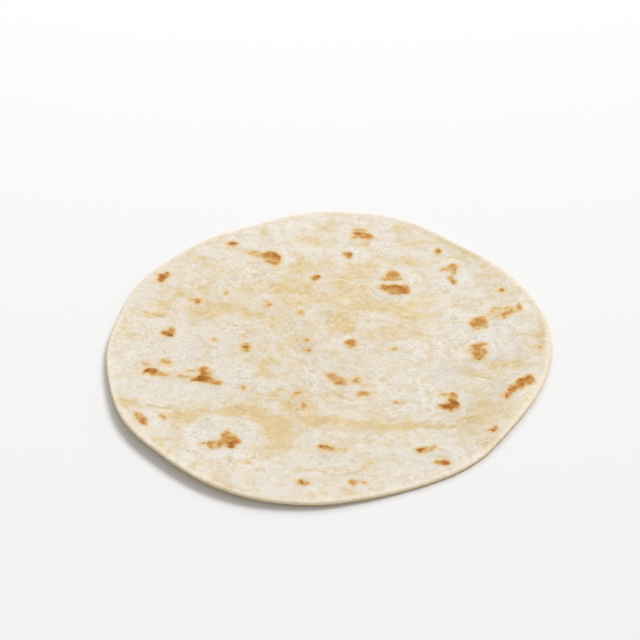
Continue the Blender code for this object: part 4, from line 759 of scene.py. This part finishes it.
# The underside keeps its flat middle on the floor and is only ever dented up.
dents = 0.10 * np.clip(layers(x, y, 7.0, 51, 3, 0.6), 0.0, None) + 0.05 * np.clip(
    layers(x, y, 22.0, 54, 2), 0.0, None
)
z = np.where(is_under, z + dents * smooth(radius, 99.0, 96.0), z)
z = np.maximum(z, 0.0)

mesh = bpy.data.meshes.new("tortilla_dough")
mesh.vertices.add(count)
mesh.vertices.foreach_set("co", (np.stack([x, y, z], 1) / 1000.0).astype(np.float32).ravel())
mesh.loops.add(3 * len(faces))
mesh.loops.foreach_set("vertex_index", faces.astype(np.int32).ravel())
mesh.polygons.add(len(faces))
mesh.polygons.foreach_set("loop_start", (3 * np.arange(len(faces))).astype(np.int32))
mesh.update(calc_edges=True)
mesh.validate()
mesh.shade_smooth()

# ------------------------------------------------------------------- fields
UNDER_SEED = 4242


def underside_patches():
    """Toasted spots and yellow bands of the underside, from a seeded draw."""
    draw = np.random.RandomState(UNDER_SEED)
    toast, yellow, pale = [], [], []
    places = []
    while len(places) < 46:
        r, a = 92.0 * math.sqrt(draw.rand()), math.tau * draw.rand()
        px, py = r * math.cos(a), r * math.sin(a)
        if all(math.hypot(px - qx, py - qy) > 14.0 for qx, qy in places):
            places.append((px, py))
    for px, py in places:
        big = draw.rand()
        size = 1.2 + 3.4 * big ** 2.0
        value = 0.55 + 0.4 * draw.rand()
        lean = draw.uniform(-40.0, 40.0)
        for k in range(1 + int(3 * big)):
            ox, oy = (0.0, 0.0) if k == 0 else draw.uniform(-1.1, 1.1, 2) * size
            toast.append((px + ox, py + 0.6 * oy, size * draw.uniform(0.7, 1.1),
                          size * draw.uniform(0.4, 0.75), lean + draw.uniform(-25, 25), value))
        pale.append((px, py, 2.2 * size + 2.5, 1.7 * size + 2.0, lean, 0.55))
    for k in range(34):
        px, py = draw.uniform(-85.0, 85.0, 2)
        yellow.append((px, py, draw.uniform(6.0, 17.0), draw.uniform(2.5, 6.5),
                       draw.uniform(-25.0, 25.0), draw.uniform(0.3, 0.7)))
    return toast, yellow, pale


under_toast, under_yellow, under_pale = underside_patches()
depth_u, brown_u = toast_fields(x, y, under_toast)
yellow = np.where(
    is_under,
    patch_field(x, y, under_yellow, 81, 2.4, 0.45, 1.35),
    patch_field(x, y, YELLOW, 81, 3.0, 0.30, 1.50),
)
pale = np.where(
    is_under,
    patch_field(x, y, under_pale, 91, 1.2, 0.6, 1.2),
    patch_field(x, y, FLOURY, 91, 2.4, 0.45, 1.35),
)
depth = np.where(is_under, depth_u, toast_depth)
heart = patch_field(x, y, HEARTS, 83, 0.25, 0.30, 1.25)
brown = 0.86 * np.where(is_under, brown_u, toast_brown) + np.where(is_under, 0.0, 0.24 * heart)
painted_fold_light = np.where(is_under, 0.0, fold_painted_light)
ring_flour_and_shade = np.where(is_under, 0.0, dome_flour_and_shade)
grainy = np.where(is_under, 0.25, patch_field(x, y, GRAINY, 87, 0.8, 0.30, 1.45))
# A pale band along the top of the lip: partly paler dough, partly a painted highlight where the rounded lip catches
# the light.
rim = smooth(radius, 97.0, 98.5) * np.where(is_under, 0.0, smooth(upper, 0.35, 0.9))
# The lip's lower half and the underside's edge painted golden and light: partly yellower edge dough, partly painted
# light passing through the thin dough, lifting the edge out of its shade.
wall = np.where(is_under, 0.5 * smooth(radius, 96.0, 98.0), smooth(upper, 0.90, 0.55))
# Painted light and shade of the sheet's slight tilts, lighter or darker by patch.
painted_shading = np.where(is_under, 0.0, painted_shading_field(x, y, PAINTED_SHADING))


def colour_attribute(name, channels):
    layer = mesh.attributes.new(name, "FLOAT_COLOR", "POINT")
    data = np.ones((count, 4), np.float32)
    for k, channel in enumerate(channels):
        data[:, k] = np.clip(channel, 0.0, 1.0)
    layer.data.foreach_set("color", data.ravel())


colour_attribute("toast", (0.5 + depth / 6.0, brown, rim))
colour_attribute("tone", (yellow, pale, wall))
colour_attribute("fold", (0.5 + 0.4 * painted_fold_light, 0.5 + 0.4 * ring_flour_and_shade, grainy))
colour_attribute("painted_shading", (0.5 + painted_shading / 40.0,))

# ----------------------------------------------------------------- the map
# The upper face and the underside are unrolled as two discs.
arc = np.where(is_under, UNDER_RADIUS, LIP_START)
flat = np.minimum(radius, LIP_START)
over = np.where(
    (radius > LIP_START - 1e-9) & ~is_under,
    LIP * (math.pi / 2.0 - np.arcsin(np.clip(height / LIP - 1.0, -1.0, 1.0))), 0.0
)
top_out = np.where(is_under, radius, flat + over)
low_out = np.where(is_under, radius, LIP_START + (math.pi * LIP - over))
uv = np.zeros((len(faces), 3, 2))
corner = faces
top_side = side <= 1
full_top = LIP_START + math.pi * LIP / 2.0
for on_top, centre, size, out in (
    (True, (0.385, 0.385), 0.375, top_out),
    (False, (0.800, 0.800), 0.190, low_out),
):
    pick = top_side == on_top
    c = corner[pick]
    scale = size / full_top
    turn = angle[c]
    lead = 1.0 if on_top else -1.0
    uv[pick, :, 0] = centre[0] + lead * scale * out[c] * np.cos(turn)
    uv[pick, :, 1] = centre[1] + scale * out[c] * np.sin(turn)
uv_layer = mesh.uv_layers.new(name="OFBake")
uv_layer.data.foreach_set("uv", uv.astype(np.float32).ravel())

piece = bpy.data.objects.new("tortilla_dough", mesh)
bpy.context.scene.collection.objects.link(piece)


# ---------------------------------------------------------------- material
class Graph:
    """Short names for the nodes of one material."""

    def __init__(self, name):
        self.material = bpy.data.materials.new(name)
        self.material.use_nodes = True
        self.nodes = self.material.node_tree.nodes
        self.links = self.material.node_tree.links
        self.surface = self.nodes["Principled BSDF"]
        self.place = self.nodes.new("ShaderNodeTexCoord").outputs["Object"]

    def put(self, value, socket):
        if isinstance(value, bpy.types.NodeSocket):
            self.links.new(value, socket)
        elif isinstance(value, (tuple, list)) and len(value) == 3 and socket.type == "RGBA":
            socket.default_value = (*value, 1.0)
        else:
            socket.default_value = value

    def math(self, operation, a, b=0.0, c=0.0, clamp=False):
        node = self.nodes.new("ShaderNodeMath")
        node.operation = operation
        node.use_clamp = clamp
        for value, socket in zip((a, b, c), node.inputs):
            self.put(value, socket)
        return node.outputs[0]

    def add(self, *terms):
        total = terms[0]
        for term in terms[1:]:
            total = self.math("ADD", total, term)
        return total

    def times(self, a, b):
        return self.math("MULTIPLY", a, b)

    def smooth(self, value, low, high, to_low=0.0, to_high=1.0):
        node = self.nodes.new("ShaderNodeMapRange")
        node.interpolation_type = "SMOOTHSTEP"
        for value_in, name in (
            (value, "Value"), (low, "From Min"), (high, "From Max"), (to_low, "To Min"), (to_high, "To Max"),
        ):
            self.put(value_in, node.inputs[name])
        return node.outputs["Result"]

    def noise(self, wave, detail=2.0, rough=0.5, squeeze=(1.0, 1.0, 1.0), shift=0.0, distort=0.0):
        """Noise less its mean, with bumps about this many millimetres apart."""
        scale = self.nodes.new("ShaderNodeMapping")
        self.put(self.place, scale.inputs["Vector"])
        scale.inputs["Location"].default_value = (shift, 0.37 * shift, -0.61 * shift)
        scale.inputs["Scale"].default_value = tuple(1000.0 / wave * s for s in squeeze)
        node = self.nodes.new("ShaderNodeTexNoise")
        self.put(scale.outputs["Vector"], node.inputs["Vector"])
        node.inputs["Scale"].default_value = 1.0
        node.inputs["Detail"].default_value = detail
        node.inputs["Roughness"].default_value = rough
        node.inputs["Distortion"].default_value = distort
        return self.math("SUBTRACT", node.outputs["Fac"], 0.5)

    def mix(self, share, a, b):
        node = self.nodes.new("ShaderNodeMix")
        node.data_type = "RGBA"
        for value, socket in ((share, node.inputs[0]), (a, node.inputs[6]), (b, node.inputs[7])):
            self.put(value, socket)
        return node.outputs[2]

    def scale(self, colour, by):
        node = self.nodes.new("ShaderNodeVectorMath")
        node.operation = "SCALE"
        self.put(colour, node.inputs[0])
        self.put(by, node.inputs["Scale"])
        return node.outputs["Vector"]

    def ramp(self, value, stops):
        node = self.nodes.new("ShaderNodeValToRGB")
        elements = node.color_ramp.elements
        while len(elements) < len(stops):
            elements.new(0.5)
        for element, (at, colour) in zip(elements, stops):
            element.position = at
            element.color = (*colour, 1.0)
        self.put(value, node.inputs["Fac"])
        return node.outputs["Color"]

    def channels(self, name):
        node = self.nodes.new("ShaderNodeAttribute")
        node.attribute_name = name
        split = self.nodes.new("ShaderNodeSeparateColor")
        self.put(node.outputs["Color"], split.inputs["Color"])
        return split.outputs[0], split.outputs[1], split.outputs[2]


def srgb(red, green, blue):
    """Linear colour of 0 to 255 display values."""
    return tuple(
        v / 12.92 if v <= 0.04045 else ((v + 0.055) / 1.055) ** 2.4
        for v in (red / 255.0, green / 255.0, blue / 255.0)
    )


# How light the floor's light makes a white matt surface, and what gloss adds.
LIGHT = 1.055
GLOSS = 0.012


def seen_as(red, green, blue):
    """Colour that shows as these 0 to 255 display values, lying flat in this light."""
    return tuple((v - GLOSS) / LIGHT for v in srgb(red, green, blue))


DOUGH_STOPS = (
    (0.00, seen_as(237, 230, 219)), (0.19, seen_as(235, 226, 210)), (0.37, seen_as(233, 220, 198)),
    (0.52, seen_as(231, 215, 185)), (0.68, seen_as(230, 210, 172)), (0.87, seen_as(228, 205, 160)),
    (1.00, seen_as(225, 200, 151)),
)
# White of flour, also used for the painted highlights beside creases and on fold ridges.
FLOUR_WHITE_AND_HIGHLIGHT = seen_as(246, 238, 223)
FOLD_SHADE = seen_as(204, 184, 146)
RING_SHADE = seen_as(205, 197, 178)
PORE = seen_as(214, 200, 171)
PAINTED_CREASE_SHADE = seen_as(208, 194, 168)
NICK = seen_as(195, 180, 147)
WALL_DOUGH_AND_GLOW = seen_as(246, 218, 164)
TOAST_HALO = seen_as(234, 207, 157)
TOAST_STOPS = (
    (0.05, seen_as(232, 206, 156)), (0.25, seen_as(223, 188, 133)), (0.42, seen_as(216, 172, 110)),
    (0.57, seen_as(209, 155, 88)), (0.72, seen_as(197, 135, 67)), (0.87, seen_as(179, 112, 47)),
    (1.00, seen_as(160, 98, 39)),
)

g = Graph("toasted_dough")
depth_code, brown_here, pale_lip_and_highlight = g.channels("toast")
yellow_here, flour_here, wall_here = g.channels("tone")
fold_code, ring_flour_and_shade_code, grainy_here = g.channels("fold")
painted_shading_code = g.channels("painted_shading")[0]

blotch = g.noise(16.0, 2.5, 0.60)
patchy = g.noise(6.5, 1.6, 0.5, (0.85, 1.0, 1.0), 5.9)
fleck = g.noise(3.2, 0.8, 0.5, (0.8, 1.0, 1.0), 3.1)
speck = g.noise(1.5, 2.0, 0.6, shift=7.7)
grain_fine = g.noise(0.8, 2.0, 0.6, shift=12.9)
dust = g.noise(2.4, 3.0, 0.7, shift=21.3, distort=0.5)
cloud = g.noise(24.0, 6.0, 0.68, shift=33.7)
crumb = g.noise(1.9, 2.5, 0.6, shift=51.3)
pit = g.noise(2.2, 2.5, 0.6, shift=63.9)
crease_level = g.noise(12.0, 3.0, 0.55, (0.9, 1.15, 1.0), 71.7, 0.5)
crease_where = g.noise(10.0, 2.0, 0.5, shift=83.1)
busy = g.add(g.smooth(g.noise(15.0, 3.0, 0.6, shift=91.7), -0.10, 0.13, 0.40, 1.05), g.times(grainy_here, 1.1))
nick = g.noise(1.7, 1.0, 0.5, shift=97.3)

# Cream dough, yellower where it is thin, whiter where flour stuck. The thin
# places have crumbly borders.
thin = g.smooth(
    g.add(yellow_here, g.times(patchy, 1.0), g.times(fleck, 0.9)), 0.18, 0.60
)
mottled = g.smooth(
    g.add(g.times(blotch, 0.9), g.times(patchy, 1.0), g.times(fleck, 0.8)), -0.05, 0.15
)
tone = g.add(
    0.282, g.times(yellow_here, 0.69), g.times(thin, 0.18), g.times(mottled, 0.14), g.times(flour_here, -0.31),
    g.times(blotch, 0.46), g.times(patchy, 0.48), g.times(fleck, 0.27),
)
base = g.ramp(tone, DOUGH_STOPS)

# Crumbs of flour, pores, and fine creases with painted shade in them and a painted highlight along one side.
base = g.mix(g.smooth(g.add(crumb, g.times(grainy_here, 0.05)), 0.06, 0.18, 0.0, 0.30), base, FLOUR_WHITE_AND_HIGHLIGHT)
base = g.mix(g.smooth(pit, 0.08, 0.17, 0.0, 0.24), base, PORE)
crease = g.times(
    g.smooth(g.math("ABSOLUTE", crease_level), 0.002, 0.014, 1.0, 0.0), g.smooth(crease_where, 0.0, 0.10)
)
crease_painted_highlight = g.times(
    g.smooth(g.math("ABSOLUTE", g.math("SUBTRACT", crease_level, 0.020)), 0.003, 0.012, 1.0, 0.0),
    g.smooth(crease_where, 0.0, 0.10),
)
base = g.mix(g.times(crease_painted_highlight, 0.40), base, FLOUR_WHITE_AND_HIGHLIGHT)
base = g.mix(g.times(crease, 0.40), base, PAINTED_CREASE_SHADE)
nicked = g.smooth(g.add(nick, g.times(grainy_here, 0.12)), 0.17, 0.27, 0.0, 0.34)
base = g.mix(g.times(nicked, busy), base, NICK)

# Rings, folds and the lip, with painted shade in the ring ditches and fold grooves, painted highlights on fold
# ridges and along the lip, and painted light in the lip's golden edge.
ring = g.math("SUBTRACT", ring_flour_and_shade_code, 0.5)
base = g.mix(g.smooth(ring, 0.02, 0.26, 0.0, 0.85), base, FLOUR_WHITE_AND_HIGHLIGHT)
# Painted shade in the ditch round each blister.
base = g.mix(g.smooth(ring, -0.02, -0.26, 0.0, 0.60), base, RING_SHADE)
# Painted shade in the fold grooves and a painted highlight on the ridges.
fold = g.add(fold_code, -0.5, g.times(speck, 0.12))
base = g.mix(g.smooth(fold, 0.04, 0.42, 0.0, 0.75), base, FOLD_SHADE)
base = g.mix(g.smooth(fold, -0.04, -0.34, 0.0, 0.75), base, FLOUR_WHITE_AND_HIGHLIGHT)
# Pale band along the lip: partly paler dough, partly a painted highlight.
base = g.mix(g.times(pale_lip_and_highlight, g.smooth(flour_here, 0.15, 0.90, 0.64, 0.25)), base, seen_as(245, 233, 210))
# Golden edge: partly yellower dough, partly painted light through the thin edge.
base = g.mix(g.times(wall_here, 0.92), base, WALL_DOUGH_AND_GLOW)

# Fine light and dark flecks of the dough, times the painted light and shade of the sheet's slight tilts.
grain_and_painted_shade = g.add(
    0.8, g.times(painted_shading_code, 0.4), g.times(fleck, -0.05), g.times(cloud, 0.03),
    g.times(busy, g.add(g.times(speck, 0.46), g.times(grain_fine, 0.32), g.times(dust, 0.25), g.times(crumb, 0.12))),
)
base = g.scale(base, grain_and_painted_shade)

# Toasted spots: a faint tan halo, fainter under flour, a grainy edge and a
# darker heart.
depth_mm = g.times(g.math("SUBTRACT", depth_code, 0.5), 6.0)
depth_now = g.add(depth_mm, g.smooth(flour_here, 0.30, 1.0, 0.08, 0.24), g.times(speck, 0.9), g.times(grain_fine, 0.6), g.times(fleck, 0.8))
strength = g.smooth(brown_here, 0.05, 0.50)
halo = g.times(g.smooth(depth_now, -2.3, 0.1, 0.0, 0.75), strength)
halo = g.times(halo, g.smooth(flour_here, 0.30, 1.0, 1.12, 0.55))
base = g.mix(halo, base, TOAST_HALO)
heart = g.add(
    brown_here, g.smooth(depth_now, -0.5, 1.4, -0.29, 0.06),
    g.times(speck, 0.45), g.times(grain_fine, 0.35), g.times(fleck, 0.9),
)
toast = g.scale(g.ramp(heart, TOAST_STOPS), g.add(1.0, g.times(pit, -0.75), g.times(crumb, 0.60)))
spot = g.times(g.smooth(depth_now, -0.75, 0.65), g.smooth(brown_here, 0.0, 0.36, 0.25, 1.0))
colour = g.mix(spot, base, toast)
g.put(colour, g.surface.inputs["Base Color"])

# Matt flour, slightly smoother where the dough is thin or toasted.
rough = g.add(0.84, g.times(yellow_here, -0.12), g.times(spot, -0.16), g.times(speck, 0.25))
g.put(g.math("MINIMUM", g.math("MAXIMUM", rough, 0.45), 0.97), g.surface.inputs["Roughness"])
g.surface.inputs["Specular IOR Level"].default_value = 0.20
g.surface.inputs["Metallic"].default_value = 0.0

# Grain finer than the mesh, in metres.
pores = g.add(
    g.times(grain_fine, 0.000050), g.times(speck, 0.000090), g.times(fleck, 0.000060),
    g.times(g.times(grain_fine, spot), 0.000120), g.times(crease, -0.000060),
)
bump = g.nodes.new("ShaderNodeBump")
bump.inputs["Strength"].default_value = 0.8
bump.inputs["Distance"].default_value = 1.0
g.put(pores, bump.inputs["Height"])
g.put(bump.outputs["Normal"], g.surface.inputs["Normal"])
mesh.materials.append(g.material)

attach(piece, "root")
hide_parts("tortilla")

# --------------------------------------------------------- floor and light
floor_mesh = bpy.data.meshes.new("floor")
floor_mesh.from_pydata(
    [(-20.0, -20.0, -0.00015), (20.0, -20.0, -0.00015), (20.0, 20.0, -0.00015), (-20.0, 20.0, -0.00015)],
    [], [(0, 1, 2, 3)],
)
floor = bpy.data.objects.new("floor", floor_mesh)
bpy.context.scene.collection.objects.link(floor)
paint = bpy.data.materials.new("floor_white")
paint.use_nodes = True
paint.node_tree.nodes["Principled BSDF"].inputs["Base Color"].default_value = (0.875, 0.875, 0.875, 1.0)
paint.node_tree.nodes["Principled BSDF"].inputs["Roughness"].default_value = 0.9
paint.node_tree.nodes["Principled BSDF"].inputs["Specular IOR Level"].default_value = 0.0
floor_mesh.materials.append(paint)

world = bpy.data.worlds.new("studio")
bpy.context.scene.world = world
world.use_nodes = True
surround = world.node_tree.nodes["Background"]
surround.inputs["Color"].default_value = (1.0, 1.0, 1.0, 1.0)
surround.inputs["Strength"].default_value = 0.50
# Beyond the floor's far edge the backdrop shows as pale as the floor does.
backdrop = world.node_tree.nodes.new("ShaderNodeBackground")
backdrop.inputs["Color"].default_value = (1.0, 1.0, 1.0, 1.0)
backdrop.inputs["Strength"].default_value = 0.79
seen = world.node_tree.nodes.new("ShaderNodeLightPath")
either = world.node_tree.nodes.new("ShaderNodeMixShader")
world.node_tree.links.new(seen.outputs["Is Camera Ray"], either.inputs[0])
world.node_tree.links.new(surround.outputs[0], either.inputs[1])
world.node_tree.links.new(backdrop.outputs[0], either.inputs[2])
world.node_tree.links.new(either.outputs[0], world.node_tree.nodes["World Output"].inputs["Surface"])


def soft_light(name, strength, angle, towards):
    light = bpy.data.lights.new(name, "SUN")
    light.energy = strength
    light.angle = math.radians(angle)
    light.color = (1.0, 1.0, 1.0)
    holder = bpy.data.objects.new(name, light)
    holder.rotation_mode = "QUATERNION"
    holder.rotation_quaternion = Vector(towards).to_track_quat("Z", "Y")
    bpy.context.scene.collection.objects.link(holder)


# The key comes from behind the tortilla, on the viewer's right, and a softbox
# stands behind it, so that the far edge is a little lighter.
soft_light("key", 1.58, 26.0, (0.62, 0.52, 1.0))
softbox = bpy.data.lights.new("softbox", "AREA")
softbox.shape = "RECTANGLE"
softbox.size = 0.70
softbox.size_y = 0.45
softbox.energy = 4.2
softbox_holder = bpy.data.objects.new("softbox", softbox)
softbox_holder.location = (0.0, 0.95, 0.85)
softbox_holder.rotation_mode = "QUATERNION"
softbox_holder.rotation_quaternion = Vector((0.0, 0.95, 0.85)).to_track_quat("Z", "Y")
softbox_holder.visible_camera = False
bpy.context.scene.collection.objects.link(softbox_holder)

# ------------------------------------------------------------------ camera
ELEVATION = math.radians(41.0)
TARGET = Vector((-0.00453, 0.02214, 0.0))
DISTANCE = 1.1285
camera_data = bpy.data.cameras.new("camera")
camera_data.sensor_fit = "HORIZONTAL"
camera_data.sensor_width = 36.0
camera_data.lens = 18.0 / math.tan(math.radians(7.5))
camera_data.clip_start = 0.01
camera_data.clip_end = 100.0
camera = bpy.data.objects.new("camera", camera_data)
camera.location = TARGET + DISTANCE * Vector((0.0, -math.cos(ELEVATION), math.sin(ELEVATION)))
camera.rotation_mode = "QUATERNION"
camera.rotation_quaternion = (camera.location - TARGET).to_track_quat("Z", "Y")
bpy.context.scene.collection.objects.link(camera)
bpy.context.scene.camera = camera

view = bpy.context.scene.view_settings
view.view_transform = "Standard"
view.look = "None"
view.exposure = 0.0
view.gamma = 1.0

bpy.context.view_layer.update()
